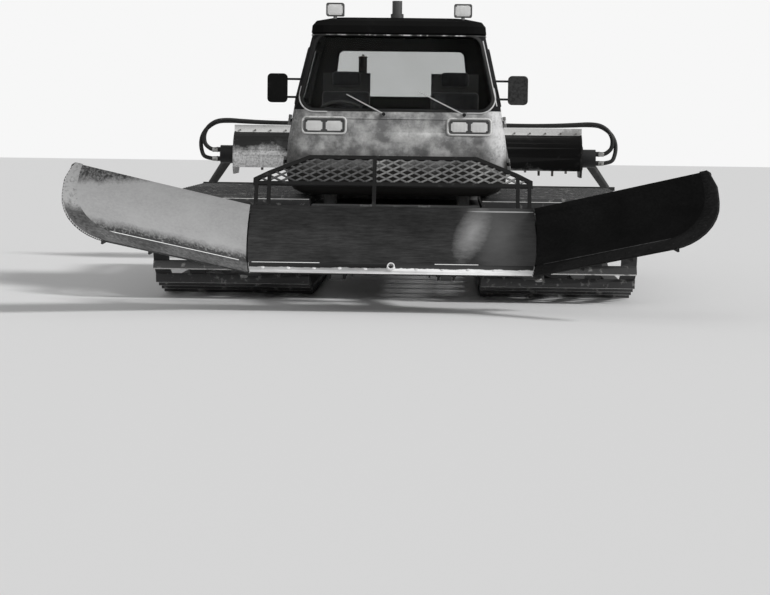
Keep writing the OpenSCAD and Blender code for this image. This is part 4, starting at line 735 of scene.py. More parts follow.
def padded_block(name, size, radius, place):
    """A cushion: a rounded block blown up as cloth, with a seam round it and two stitched lines on top."""
    cap = 0.009  # the most that the cloth may swell
    bm = bmesh.new()
    bmesh.ops.create_cube(bm, size=1.0)
    bmesh.ops.scale(bm, vec=(size[0] - 2 * cap, size[1] - 2 * cap, size[2] - cap), verts=bm.verts)
    bmesh.ops.bevel(bm, geom=list(bm.edges), offset=radius, segments=5, profile=0.5, affect="EDGES",
                    material=-1)
    mesh = bpy.data.meshes.new(name)
    bm.to_mesh(mesh)
    bm.free()
    mesh.materials.append(seat_cloth)
    pad = bpy.data.objects.new(name, mesh)
    bpy.context.collection.objects.link(pad)
    bpy.context.view_layer.objects.active = pad
    remesh = pad.modifiers.new("remesh", "REMESH")
    remesh.mode = "VOXEL"
    remesh.voxel_size = 0.009
    bpy.context.view_layer.update()
    fine = bpy.data.meshes.new_from_object(pad.evaluated_get(bpy.context.evaluated_depsgraph_get()))
    pad.modifiers.clear()
    pad.data = fine
    rest = [v.co.copy() for v in fine.vertices]
    cloth = pad.modifiers.new("cloth", "CLOTH")
    cloth.settings.use_pressure = True
    cloth.settings.uniform_pressure_force = 4.0
    cloth.settings.effector_weights.gravity = 0.0
    cloth.settings.quality = 5
    scene = bpy.context.scene
    for f in range(1, 21):
        scene.frame_set(f)
    blown = bpy.data.meshes.new_from_object(pad.evaluated_get(bpy.context.evaluated_depsgraph_get()))
    pad.modifiers.clear()
    pad.data = blown
    for v, p in zip(blown.vertices, rest):
        move = v.co - p
        if move.length > cap:
            move *= cap / move.length
        v.co = p + move
    scene.frame_set(1)
    soft = bmesh.new()
    soft.from_mesh(pad.data)
    bmesh.ops.smooth_vert(soft, verts=soft.verts, factor=0.5, use_axis_x=True, use_axis_y=True,
                          use_axis_z=True)
    for v in soft.verts:
        seam = math.exp(-((v.co.z / size[2] - 0.18) * size[2] / 0.006) ** 2)
        for i in (0, 1):
            if abs(v.co[i]) / size[i] > 0.42:
                v.co[i] -= math.copysign(0.004 * seam, v.co[i])
        for line in (-0.17, 0.17):
            if v.co.z > 0.2 * size[2]:
                v.co.z -= 0.005 * math.exp(-((v.co.x / size[0] - line) * size[0] / 0.007) ** 2)
    bmesh.ops.transform(soft, matrix=place, verts=soft.verts)
    soft.to_mesh(pad.data)
    soft.free()
    if not pad.data.materials:
        pad.data.materials.append(seat_cloth)
    pad.data.shade_smooth()
    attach(pad, "chassis")
    return pad


def mirrored_copy(thing, name):
    """The same piece on the other side of the cab."""
    mesh = thing.data.copy()
    bm = bmesh.new()
    bm.from_mesh(mesh)
    bmesh.ops.scale(bm, vec=(-1, 1, 1), verts=bm.verts)
    bmesh.ops.recalc_face_normals(bm, faces=bm.faces)
    bm.to_mesh(mesh)
    bm.free()
    other = bpy.data.objects.new(name, mesh)
    bpy.context.collection.objects.link(other)
    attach(other, "chassis")
    return other


back_lean = math.radians(10)
seat_x = 0.48
seat_pads = []
for kind, size, radius, foot in (("base", (0.480, 0.500, 0.110), 0.045, None),
                                 ("back", (0.460, 0.440, 0.100), 0.040, 1.330),
                                 ("head", (0.270, 0.150, 0.080), 0.032, 1.785)):
    place = Matrix.Translation((seat_x, -0.890, 1.2555))
    if foot:
        front = -0.615 + (foot - 1.200) * math.tan(back_lean)
        place = (Matrix.Translation((seat_x, front, foot)) @ Matrix.Rotation(-back_lean, 4, "X")
                 @ Matrix.Translation((0, -size[2] / 2 - 0.0003, size[1] / 2))
                 @ Matrix.Rotation(math.radians(90), 4, "X"))
    pad = padded_block("seat_%s_right" % kind, size, radius, place)
    seat_pads += [pad, mirrored_copy(pad, "seat_%s_left" % kind)]
for pad in seat_pads:
    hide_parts("seat_cushions")

# Roof lamps and beacon: two rectangular work lamps on stalks, each with a dark rim round a pale crowned lens,
# and a beacon in dark plastic.
roof_lamp_shell = aged_finish("roof_lamp_shell", 0.16, 0.30, 0.3, 0.2, 20.0, (0.35, 0.5))
dress(roof_lamp_shell, "roof_lamps")
dress(lamp_housing, "beacon")
lenses = bmesh.new()
for side, name in SIDES:
    x, z, half_w, half_h = side * 0.54, 2.433, 0.071, 0.051
    crowned_lens(lenses, 0.132, 0.090, 0.005, 0.003, Matrix.Translation((x, -1.4155, 2.432)))
    ring = rounded_path([(x - half_w, z - half_h), (x + half_w, z - half_h), (x + half_w, z + half_h),
                         (x - half_w, z + half_h)], 0.012, n=4)
    new_tube("roof_lamp_rim_" + name, [(p.x, -1.4145, p.y) for p in ring], 0.0055, lamp_housing, "chassis",
             closed=True)
new_piece("roof_lamp_lenses", lenses, lamp_lens, "chassis", smooth=40)

# Mirrors: moulded black heads on bent rods, the right one paler in patches, each with a crowned glass let
# into its rear face.
mirror_shell = aged_finish("mirror_shell", 0.003, 0.010, 0.3, 0.02, 12.0, (0.6, 0.75), shine=0.05)
mirror_silver = aged_finish("mirror_silver", (0.80, 0.81, 0.82), 0.62, 0.25, 0.25, 9.0, (0.03, 0.2),
                            metal=1.0, bump=0.0)
stain_and_shade_band(mirror_shell, 0.085, (1.0, 0.0, 0.0), 0.5, 0.9, strength=0.55)
dress(mirror_shell, "mirrors")
glasses = bmesh.new()
for side in (-1, 1):
    turned = Matrix.Translation((side * 1.006, -1.5945, 1.765)) @ Matrix.Rotation(math.pi, 4, "Z")
    crowned_lens(glasses, 0.140, 0.214, 0.003, 0.002, turned)
new_piece("mirror_glasses", glasses, mirror_silver, "chassis", smooth=40)

# Wipers: pressed arms in bare metal on black spindles, each with a rubber blade that lies on the glass.
# The blades are short tubes laid down on the screen between each wiper's foot and tip.
wiper_metal = aged_finish("wiper_metal", 0.62, 0.35, 0.3, 0.05, 30.0, (0.3, 0.5), metal=0.2)
dress(wiper_metal, "wipers")
glass_skin = skin_of("windscreen")
for name, foot, tip in (("left", (-0.225, 1.616), (-0.405, 1.7085)),
                        ("right", (0.50, 1.586), (0.20, 1.7335))):
    row = [Vector(foot).lerp(Vector(tip), t / 8) for t in range(9)]
    new_tube("wiper_rubber_" + name, on_front(glass_skin, row, 0.004), 0.004, seal_rubber, "chassis")
spindles = bmesh.new()
for spot in on_front(shell_skin, [(-0.108, 1.556), (0.560, 1.556)]):
    add_hex_head(spindles, spot + Vector((0, -0.012, 0)), (0, -1, 0), across=0.034, height=0.022, sides=20)
new_piece("wiper_spindles", spindles, seal_rubber, "chassis", smooth=40)

# Door furniture: a moulded handle with a pull and a lock barrel on each door, and a bent grab rail behind the
# door on the cab's rear corner, on two round feet.
def add_block(bm, centre, size, radius=0.004, turn=None, segments=2):
    """A block with rounded edges."""
    others = set(bm.verts)
    made = bmesh.ops.create_cube(bm, size=1.0)["verts"]
    bmesh.ops.scale(bm, vec=size, verts=made)
    edges = list({e for v in made for e in v.link_edges})
    bmesh.ops.bevel(bm, geom=edges, offset=radius, segments=segments, profile=0.5, affect="EDGES",
                    material=-1)
    place = Matrix.Translation(centre) @ (turn.to_4x4() if turn else Matrix.Identity(4))
    bmesh.ops.transform(bm, matrix=place, verts=[v for v in bm.verts if v not in others])


def add_round(bm, at, way, radius, height, chamfer=0.002, sides=24, top=None):
    """A round boss that stands on a point along a direction, its far edge bevelled."""
    place = standing(at, way) @ Matrix.Translation((0, 0, height / 2))
    made = bmesh.ops.create_cone(bm, cap_ends=True, segments=sides, radius1=radius, radius2=top or radius,
                                 depth=height, matrix=place)["verts"]
    out = Vector(way).normalized()
    high = max(v.co.dot(out) for v in made) - 0.0002
    rim = [e for e in {e for v in made for e in v.link_edges} if all(v.co.dot(out) > high for v in e.verts)]
    bmesh.ops.bevel(bm, geom=rim, offset=chamfer, segments=2, profile=0.5, affect="EDGES", material=-1)


furniture_plastic = aged_finish("furniture_plastic", 0.015, 0.04, 0.3, 0.15, 14.0, (0.5, 0.65), shine=0.3)
rail_metal = aged_finish("rail_metal", 0.28, (0.12, 0.11, 0.10), 0.35, 0.15, 12.0, (0.35, 0.6), metal=0.6)
for side, name in SIDES:
    spot = on_side(skin_of("door_" + name), side, [(-0.800, 1.420)])[0]
    pull = bmesh.new()
    add_block(pull, spot + Vector((side * 0.001, 0, 0)), (0.008, 0.150, 0.062), 0.0035, segments=3)
    add_block(pull, spot + Vector((side * 0.011, 0.006, 0.008)), (0.012, 0.112, 0.024), 0.005, segments=3)
    add_round(pull, spot + Vector((side * 0.004, -0.052, -0.015)), (side, 0, 0), 0.010, 0.010)
    new_piece("door_handle_" + name, pull, furniture_plastic, "door_" + name, smooth=35)
    low, high = on_side(shell_skin, side, [(-0.3, 1.10), (-0.3, 1.95)])
    reach, rise = Vector((side * 0.050, 0, 0)), Vector((0, 0, 0.020))
    bend = [low, low + reach * 0.8, low + reach + rise, high + reach - rise, high + reach * 0.8, high]
    new_tube("grab_rail_" + name, bend, 0.011, rail_metal, "chassis", sides=3)
    feet = bmesh.new()
    for foot in (low, high):
        add_round(feet, foot - reach * 0.02, (side, 0, 0), 0.024, 0.006)
    new_piece("grab_rail_feet_" + name, feet, rail_metal, "chassis", smooth=35)

# Engine housing and lid: folded sheet steel with tilted louvres in its sides and rear and bolts along its
# foot. Rubber latches hold the lid, which has a lifting handle at its rear edge.
housing_paint = aged_finish("housing_paint", 0.17, (0.40, 0.40, 0.39), 0.5, 0.22, 4.5, (0.4, 0.6),
                            softness=0.35)
dress(housing_paint, "engine_housing", "engine_lid")
louvres, latches, bolts = bmesh.new(), bmesh.new(), bmesh.new()
louvre_heights = [0.938 + 0.060 * i for i in range(8)]
bolt_z = 0.835
for side in (-1, 1):
    for z in louvre_heights:
        tilt = Matrix.Rotation(math.radians(-side * 30), 3, "Y")
        add_block(louvres, (side * 0.7075, 0.515, z), (0.004, 0.906, 0.034), 0.0018, turn=tilt)
    for y in (0.02, 0.49, 1.0):
        add_block(latches, (side * 0.7095, y, 1.405), (0.018, 0.026, 0.078), 0.006, segments=3)
        add_block(latches, (side * 0.7055, y, 1.375), (0.010, 0.046, 0.024), 0.003)
        add_round(latches, (side * 0.716, y, 1.432), (side, 0, 0), 0.009, 0.006, sides=16)
    for y in (-0.15 + 0.166 * i for i in range(9)):
        add_hex_head(bolts, (side * 0.700, y, bolt_z), (side, 0, 0), across=0.019, height=0.008)
for x in (-0.63 + 0.18 * i for i in range(8)):
    add_hex_head(bolts, (x, 1.240, bolt_z), (0, 1, 0), across=0.019, height=0.008)
for z in louvre_heights:
    tilt = Matrix.Rotation(math.radians(30), 3, "X")
    add_block(louvres, (0, 1.2475, z), (0.906, 0.004, 0.034), 0.0018, turn=tilt)
new_piece("housing_louvres", louvres, housing_paint, "chassis", smooth=35)
new_piece("housing_latches", latches, furniture_plastic, "chassis", smooth=35)
new_piece("housing_bolts", bolts, bolt_steel, "chassis")
handle = [(-0.085, 1.243, 1.452), (-0.078, 1.272, 1.452), (0.078, 1.272, 1.452), (0.085, 1.243, 1.452)]
new_tube("lid_handle", handle, 0.007, rail_metal, "engine_lid", sides=3)

# The engine: one plain cast block in faded paint, with oil and dust on it. It shows when the lid is up, and
# is kept simple because little of it is seen.
block_paint = aged_finish("block_paint", (0.10, 0.105, 0.10), (0.05, 0.045, 0.04), 0.4, 0.4, 5.0,
                          (0.5, 0.7), bump=0.3)
dress(block_paint, "engine_block")

# The exhaust stack: a steel pipe, scaled and browned by heat, held by two band clamps and closed by a rain
# flap on a hinge behind its mouth.
def add_band(bm, place, profile):
    """A turned band: circles of a radius at a height along an axis, each bridged to the next."""
    rings = []
    for radius, height in profile:
        ring = bmesh.ops.create_circle(bm, cap_ends=False, segments=32, radius=radius,
                                       matrix=place @ Matrix.Translation((0, 0, height)))["verts"]
        rings.append(list({e for v in ring for e in v.link_edges}))
    for low, high in zip(rings, rings[1:]):
        bmesh.ops.bridge_loops(bm, edges=low + high)


rusty_pipe = aged_finish("rusty_pipe", (0.055, 0.045, 0.040), (0.15, 0.105, 0.080), 0.45, 0.15, 12.0,
                         (0.7, 0.9), bump=0.3)
dress(rusty_pipe, "exhaust_stack")
pipe_x, pipe_y = -0.352, -0.144
pipe_skin = skin_of("exhaust_stack")
clamps = bmesh.new()
for z in (1.66, 1.90):
    pipe_r = set_down(pipe_skin, [(pipe_x + 0.3, pipe_y, z)], (-1, 0, 0))[0].x - pipe_x
    inner, outer = pipe_r - 0.001, pipe_r + 0.0025
    add_band(clamps, Matrix.Translation((pipe_x, pipe_y, z)),
             ((inner, -0.010), (outer, -0.009), (outer, 0.009), (inner, 0.010)))
    add_block(clamps, (pipe_x, pipe_y + pipe_r + 0.010, z), (0.026, 0.020, 0.018), 0.002)
    add_hex_head(clamps, (pipe_x + 0.013, pipe_y + pipe_r + 0.012, z), (1, 0, 0), across=0.013, height=0.008)
new_piece("stack_clamps", clamps, bolt_steel, "chassis", smooth=35)
flap = bmesh.new()
mouth = Vector((pipe_x, pipe_y, 2.0703))
lifted = Matrix.Translation(mouth + Vector((0, 0.042, 0.006))) @ Matrix.Rotation(math.radians(14), 4, "X")
bmesh.ops.create_cone(flap, cap_ends=True, segments=32, radius1=0.043, radius2=0.041, depth=0.004,
                      matrix=lifted @ Matrix.Translation((0, -0.042, 0.004)))
add_block(flap, lifted @ Vector((0, 0.020, 0.006)), (0.022, 0.044, 0.012), 0.002, turn=lifted.to_3x3())
add_block(flap, mouth + Vector((0, 0.040, -0.012)), (0.030, 0.014, 0.030), 0.002)
new_piece("rain_flap", flap, rusty_pipe, "chassis", smooth=35)

# The load bed: a folded tray with a tread plate laid in it, covered in raised lozenges worn bright on their
# crowns, each a flat four-sided cone dropped on the tray's floor.
tread_metal = aged_finish("tread_metal", 0.30, 0.10, 0.4, 0.3, 6.0, (0.35, 0.6), metal=0.5)
bed_skin = skin_of("load_bed")
tread = bmesh.new()
for i in range(42):
    for k in range(9):
        spot = set_down(bed_skin, [(-0.84 + 0.041 * i, 1.325 + 0.0405 * k, 1.4)], (0, 0, -1))[0]
        turn = Matrix.Rotation(math.radians(45 if (i + k) % 2 else -45), 4, "Z")
        made = bmesh.ops.create_cone(tread, cap_ends=True, segments=4, radius1=0.016, radius2=0.012,
                                     depth=0.004)["verts"]
        bmesh.ops.scale(tread, vec=(1, 0.36, 1), verts=made)
        place = Matrix.Translation(spot + Vector((0, 0, 0.0008))) @ turn
        bmesh.ops.transform(tread, matrix=place, verts=made)
new_piece("bed_tread", tread, tread_metal, "chassis")

# Tail lamps: red moulded lenses in black housings under the bed's rear edge. They are the headlamps' kind of
# lens in another size and tint.
tail_lens = build_lens("tail_lens", (0.45, 0.02, 0.015), 40.0)
dress(lamp_housing, "tail_lamps")
tails = bmesh.new()
for side in (-1, 1):
    turned = Matrix.Translation((side * 0.770, 1.6905, 1.140)) @ Matrix.Rotation(math.pi, 4, "Z")
    crowned_lens(tails, 0.150, 0.058, 0.005, 0.003, turned)
new_piece("tail_lenses", tails, tail_lens, "chassis", smooth=40)

# Rams: black sprayed barrels with a turned gland at the mouth, a welded port at each end and a steel pipe
# between them, and hard chromed rods.
barrel_paint = aged_finish("barrel_paint", (0.018, 0.018, 0.019), 0.08, 0.3, 0.2, 9.0, (0.38, 0.6))
chrome = aged_finish("chrome", (0.72, 0.72, 0.73), 0.55, 0.25, 0.08, 30.0, (0.08, 0.2), metal=1.0)
gland_metal = aged_finish("gland_metal", 0.26, (0.10, 0.09, 0.08), 0.4, 0.2, 30.0, (0.35, 0.6), metal=0.8)
dress(barrel_paint, "lift_barrels", "tilt_barrel", "wing_barrel_left", "wing_barrel_right", "rear_barrels")
dress(chrome, "lift_rods", "tilt_rod", "wing_rod_left", "wing_rod_right", "rear_rods")
blade_frame = Matrix.Translation((0, -3.080, 0.310)) @ Matrix.Rotation(math.radians(-22), 4, "X")
upright = Vector((0, 0, 1))
blade_upright = (blade_frame.to_3x3() @ upright).normalized()
# Each ram: its name and barrel, its foot, its rod's eye, the barrel's length and width, and its pipe's side.
rams = [("lift_" + name, "lift_barrels", (side * 0.240, -1.930, 0.765), (side * 0.240, -2.54278, 0.503413),
         0.440, 0.084, upright) for side, name in SIDES]
rams.append(("tilt", "tilt_barrel", (0, -2.18018, 0.626696), (0, -2.7103, 0.624403), 0.320, 0.094, upright))
rams += [("wing_" + name, "wing_barrel_" + name, blade_frame @ Vector((side * 0.615, 0.280, 0.280)),
          blade_frame @ Vector((side * 1.57282, 0.223673, 0.280)), 0.600, 0.076, blade_upright)
         for side, name in SIDES]
rams += [("rear_" + name, "rear_barrels", (side * 0.100, 1.770, 1.000), (side * 0.100, 2.09546, 0.663438),
          0.385, 0.084, upright) for side, name in SIDES]
for name, node, foot, eye, length, width, up in rams:
    foot = Vector(foot)
    way = (Vector(eye) - foot).normalized()
    up = way.cross(up).normalized().cross(way).normalized()
    half = width / 2
    gland = bmesh.new()
    add_band(gland, standing(foot, way), (
        (half - 0.001, length - 0.034), (half + 0.0035, length - 0.033), (half + 0.0035, length - 0.004),
        (half + 0.0005, length),
    ))
    low_port, high_port, pipe_height = 0.105, length - 0.062, half + 0.012
    for along in (low_port, high_port):
        add_round(gland, foot + way * along + up * (half - 0.003), up, 0.013, 0.016, sides=18)
        add_hex_head(gland, foot + way * along + up * pipe_height, up, across=0.022, height=0.010)
    new_piece("ram_gland_" + name, gland, gland_metal, node, smooth=35)
    pipe = [foot + way * along + up * height for along, height in (
        (low_port, pipe_height), (low_port + 0.020, pipe_height), (low_port + 0.030, pipe_height - 0.003),
        (high_port - 0.030, pipe_height - 0.003), (high_port - 0.020, pipe_height), (high_port, pipe_height),
    )]
    new_tube("ram_pipe_" + name, pipe, 0.0055, gland_metal, node, sides=3)

# The blade: a middle section and two wings of hollow-faced plate, sprayed black and scraped by snow along
# their length. The left wing is painted pale grey as painted light and the right wing near black as painted
# shade. The bolted cutting strips along their feet are bare steel, bright on the middle section and painted
# dark as shade on the wings, and their upper edges carry a painted highlight on the middle section and the
# left wing.
def build_scraped_surface():
    """Node group: a colour with fine scrapes and stains drawn out along X, and dull patches."""
    group, given, result = new_group("scraped_surface", {
        "Dark Colour": (0.02, 0.02, 0.02, 1), "Bright Colour": (0.3, 0.3, 0.3, 1), "Amount": 0.4,
        "Smooth Roughness": 0.4,
    }, {"Colour": "Color", "Roughness": "Float", "Height": "Float"})
    place = own_place(group)
    streaks = clouds(group, stretched(group, place, (0.12, 1.0, 1.0)), 70.0, 6.0, 0.65)
    stains = clouds(group, stretched(group, place, (0.5, 1.0, 1.0)), 5.0, 8.0, 0.65)
    both = spread(group, math_result(group, "MULTIPLY", streaks, stains), 0.12, 0.42)
    amount = math_result(group, "MULTIPLY", both, given["Amount"], clamp=True)
    feed(group, result, {
        "Colour": mixed(group, amount, given["Dark Colour"], given["Bright Colour"]),
        "Roughness": math_result(group, "MULTIPLY_ADD", stains, 0.3, given["Smooth Roughness"], clamp=True),
        "Height": streaks,
    })
    return group


scraped_surface = build_scraped_surface()


def scraped_finish(name, dark, bright, amount, roughness=0.4, metal=0.0, shine=0.3):
    """Painted or bare steel that snow has scraped lengthwise."""
    made = new_material(name, {"Metallic": metal, "Specular IOR Level": shine})
    streaks = new_node(made.node_tree, "Group", {
        "Dark Colour": rgba(dark), "Bright Colour": rgba(bright), "Amount": amount,
        "Smooth Roughness": roughness,
    }, node_tree=scraped_surface).outputs
    coat(made, streaks["Colour"], streaks["Roughness"], streaks["Height"], 0.15, 0.001)
    return made


def painted_light_patch(material, centre, half_width, half_height, lean, tone, start, full, noise_scale=14.0):
    """Painted light on the front face: a paler leaning oval with ragged edges."""
    tree = material.node_tree
    place = own_place(tree)
    spot = new_node(tree, "Mapping", {
        "Vector": place, "Location": (centre[0], 0, centre[1]), "Rotation": (0, math.radians(lean), 0),
        "Scale": (half_width, 1000.0, half_height),
    }, vector_type="TEXTURE").outputs["Vector"]
    oval = new_node(tree, "TexGradient", {"Vector": spot}, gradient_type="SPHERICAL").outputs["Fac"]
    streaks = clouds(tree, stretched(tree, place, (0.5, 1.0, 1.0)), noise_scale, 9.0, 0.7)
    edge = spread(tree, math_result(tree, "MULTIPLY_ADD", oval, 1.6, streaks), start, full)
    facing = one_axis(tree, new_node(tree, "NewGeometry").outputs["True Normal"], "Y")
    in_front = math_result(tree, "MULTIPLY", edge, spread(tree, facing, -0.2, -0.5))
    within = spread(tree, oval, 0.0, 0.25)
    overlay(material, math_result(tree, "MULTIPLY", in_front, within, clamp=True), tone)


blade_paint = scraped_finish("blade_paint", 0.012, 0.065, 0.75, roughness=0.45, shine=0.15)
# Painted light on the blade's face, right of the middle: paler ovals for the sunlit part beside the right
# wing's shadow and a reflection on it, and a thin pale line for a highlight along the top lip.
painted_light_patch(blade_paint, (0.84, 0.68), 0.70, 0.32, 70.0, 0.10, 0.45, 2.0)
painted_light_patch(blade_paint, (0.63, 0.640), 0.16, 0.33, 24.0, 0.36, 0.80, 2.4, noise_scale=22.0)
painted_light_patch(blade_paint, (0.86, 0.800), 0.30, 0.0065, 0.0, 0.45, 0.55, 0.9, noise_scale=30.0)
up_face = (0.0, 0.3746, 0.9272)
foot_level = -0.8664
bright_edge = scraped_finish("bright_edge", 0.85, 0.30, 0.55, roughness=0.5, metal=0.1)
# Painted highlight: the pale finish of the strips' upper edges and beads, where they catch the light. The tow
# eye's ring has the same finish.
pale_edge = scraped_finish("pale_edge", 0.80, 0.45, 0.5, roughness=0.5)
# Painted shade: the left wing's cutting strip and bolts and the right wing's bead are dark as in shade; the
# strip turns paler higher up.
shaded_edge = scraped_finish("shaded_edge", 0.018, 0.17, 0.9, roughness=0.55, shine=0.2)
# Painted shade: the right wing's strip, its upper edge and its bolts are near black, in shade.
shaded_black_edge = scraped_finish("shaded_black_edge", 0.007, 0.045, 0.5, roughness=0.5, shine=0.12)
# Painted light: the left wing's pale grey stands for its face turned to the lamp. It turns darker towards its
# foot and along its upper outer part.
left_wing_paint = scraped_finish("left_wing_paint", 0.36, 0.27, 0.8, roughness=0.6)
stain_and_shade_band(bright_edge, 0.03, up_face, foot_level + 0.054, foot_level + 0.066, ragged=0.04, strength=2.8)
stain_and_shade_band(shaded_edge, 0.33, up_face, foot_level + 0.22, foot_level + 0.30, ragged=0.15, strength=1.3)
stain_and_shade_band(left_wing_paint, 0.035, up_face, foot_level + 0.215, foot_level + 0.115, ragged=0.12, strength=1.5)
stain_and_shade_band(left_wing_paint, 0.030, (-0.233, 0.3746, 0.9272), 0.105, 0.150, ragged=0.16)
# Painted shade: the right wing is darker than the middle section, its face turned from the light.
right_wing_paint = scraped_finish("right_wing_paint", 0.006, 0.022, 0.7, roughness=0.6, shine=0.08)
hollow_y, hollow_z, hollow_r, strip_r = -0.3899, 0.280, 0.480, 0.466
hinge_x, hinge_y, wing_fold = 1.155, 0.150, math.radians(-35)
wing_frames = {
    side: (blade_frame @ Matrix.Scale(side, 4, (1, 0, 0)) @ Matrix.Translation((hinge_x, hinge_y, 0))
           @ Matrix.Rotation(wing_fold, 4, "Z") @ Matrix.Translation((0, -hinge_y, 0)))
    for side in (-1, 1)
}


def strip_or_plate(local):
    """In a section's own frame: 1 for the cutting strip's face, 2 for its upper edge, 0 for the rest."""
    away = math.hypot(local.y - hollow_y, local.z - hollow_z)
    if away < strip_r + 0.0006:
        return 1
    return 2 if away < hollow_r - 0.0005 and local.y > -0.02 and local.z > 0.002 else 0


blade_back = blade_frame.inverted()
dressed_copy("blade_centre", [blade_paint, bright_edge, pale_edge],
             lambda spot, normal: strip_or_plate(blade_back @ spot), "blade")
for side, name, finishes in ((-1, "left", [left_wing_paint, shaded_edge, pale_edge]),
                             (1, "right", [right_wing_paint, shaded_black_edge, shaded_black_edge])):
    wing_back = wing_frames[side].inverted()
    dressed_copy("wing_" + name, finishes, lambda spot, normal: strip_or_plate(wing_back @ spot),
                 "wing_" + name)


def face_point(x, z, r):
    """A point on a section's hollow face in its own frame, and the direction in front of it."""
    y = hollow_y + math.sqrt(r * r - (z - hollow_z) ** 2)
    return Vector((x, y, z)), Vector((0, hollow_y - y, hollow_z - z)).normalized()


# Weld beads seal the cutting strips' upper edges. They are stitched on the middle section, in three lengths,
# and run on in one length on each wing. The pale ones carry the edges' painted highlight, and the right wing's
# one is dark with painted shade.
beads = [("blade", "blade_bead_left", blade_frame, -1.090, -0.560, pale_edge),
         ("blade", "blade_bead_middle", blade_frame, -0.240, 0.020, bright_edge),
         ("blade", "blade_bead_right", blade_frame, 0.340, 0.680, pale_edge),
         ("wing_left", "wing_left_bead", wing_frames[-1], 0.110, 1.230, pale_edge),
         ("wing_right", "wing_right_bead", wing_frames[1], 0.110, 1.230, shaded_edge)]
bead_z, bead_r = 0.1045, 0.4755
for body, name, place, start, end, finish in beads:
    steps = max(6, round((end - start) / 0.04))
    stops = [start + (end - start) * i / steps for i in range(steps + 1)]
    line = [place @ face_point(x, bead_z, bead_r)[0] for x in stops]
    new_tube(name, line, 0.0055, finish, body)

# Plough bolts: domed heads sunk in the cutting strips, one row along the foot and on round each wing's
# corner, in the tone of the strip that they hold: worn bright on the middle section, dark with painted shade
# on the wings.
bolt_row_z = 0.052
corner_x, corner_z, corner_r = 1.290, 0.330, 0.280
rows = {"blade": (bright_edge, [(blade_frame, -1.0 + 0.2 * i, bolt_row_z) for i in range(11)])}
for side, name, finish in ((-1, "wing_left", shaded_edge), (1, "wing_right", shaded_black_edge)):
    spots = [(0.12 + 0.19 * i, bolt_row_z) for i in range(7)]
    for turn in (-62, -38, -14):
        a = math.radians(turn)
        spots.append((corner_x + corner_r * math.cos(a), corner_z + corner_r * math.sin(a)))
    spots.append((corner_x + corner_r, 0.440))
    rows[name] = (finish, [(wing_frames[side], x, z) for x, z in spots])
for body, (finish, row) in rows.items():
    heads = bmesh.new()
    for place, x, z in row:
        spot, way = face_point(x, z, strip_r)
        spot, way = place @ spot, (place.to_3x3() @ way).normalized()
        add_round(heads, spot - way * 0.001, way, 0.0165, 0.005, chamfer=0.002, sides=16, top=0.013)
    new_piece(body + "_bolts", heads, finish, body, smooth=40)

# Hinge pins of the wings: each is capped by a turned head, at its top and at its foot. They stay with the
# blade's middle section.
for side, name in SIDES:
    heads = bmesh.new()
    for z, way in ((0.5365, 1), (0.0235, -1)):
        spot = blade_frame @ Vector((side * hinge_x, hinge_y, z))
        out = blade_frame.to_3x3() @ Vector((0, 0, way))
        add_round(heads, spot - out * 0.0005, out, 0.030, 0.010, chamfer=0.003)
    new_piece("hinge_pin_heads_" + name, heads, gland_metal, "blade", smooth=35)

# The towing eye in the blade: a ring of steel round its hole, worn bright where a shackle rubs. It is a closed
# tube let half into the face.
eye_r = 0.0255
eye_ring = [blade_frame @ Vector((eye_r * math.cos(a), -0.0155, 0.064 + eye_r * math.sin(a)))
            for a in (k * math.pi / 16 for k in range(32))]
new_tube("tow_eye_ring", eye_ring, 0.0055, pale_edge, "blade", closed=True)

# The guard: a tube frame in black with a sheet of expanded mesh let into it. The mesh is made strand by
# strand, each tilted, and is painted darker on its left-hand part as painted shade.
guard_paint = aged_finish("guard_paint", 0.008, 0.035, 0.3, 0.02, 10.0, (0.55, 0.7), shine=0.12)
mesh_metal = aged_finish("mesh_metal", 0.16, (0.55, 0.55, 0.54), 0.62, 0.1, 1.6, (0.4, 0.55), metal=0.2,
                         softness=0.3)
tree = mesh_metal.node_tree
# Painted shade: the mesh darker on its left-hand part.
overlay(mesh_metal, spread(tree, one_axis(tree, own_place(tree), "X"), -0.12, -0.20), 0.12)
dress(guard_paint, "blade_guard")
guard_line = [(-1.100, 0.792), (-0.980, 0.855), (-0.660, 0.990), (0.660, 0.990), (0.980, 0.855),
              (1.100, 0.792)]


def guard_height(x):
    """Height of the guard's upper edge over the blade's foot."""
    for (x0, z0), (x1, z1) in zip(guard_line, guard_line[1:]):
        if x0 <= x <= x1:
            return z0 + (z1 - z0) * (x - x0) / (x1 - x0)
    return 0.0


strands = bmesh.new()
pitch_x, pitch_z, guard_foot, guard_y = 0.110, 0.054, 0.745, 0.016
strand_w, strand_t, overlap = 0.013, 0.003, 0.006
for row, col, way in [(row, col, way) for row in range(10) for col in range(-11, 12) for way in (-1, 1)]:
    x0, z0 = (col + 0.5 + 0.5 * (row % 2)) * pitch_x, guard_foot + row * pitch_z / 2
    x1, z1 = x0 + way * pitch_x / 2, z0 + pitch_z / 2
    if max(abs(x0), abs(x1)) > 1.085 or min(guard_height(x0), guard_height(x1)) - max(z0, z1) < -0.004:
        continue
    a, b = Vector((x0, guard_y, z0)), Vector((x1, guard_y, z1))
    along = (b - a).normalized()
    wide = Matrix.Rotation(math.radians(38 * way), 3, along) @ Vector((0, 1, 0)).cross(along)
    deep = along.cross(wide)
    length = (b - a).length + overlap
    for v in bmesh.ops.create_cube(strands, size=1.0)["verts"]:
        v.co = blade_frame @ ((a + b) / 2 + along * v.co.x * length + wide * v.co.y * strand_w
                              + deep * v.co.z * strand_t)
new_piece("guard_mesh", strands, mesh_metal, "blade")

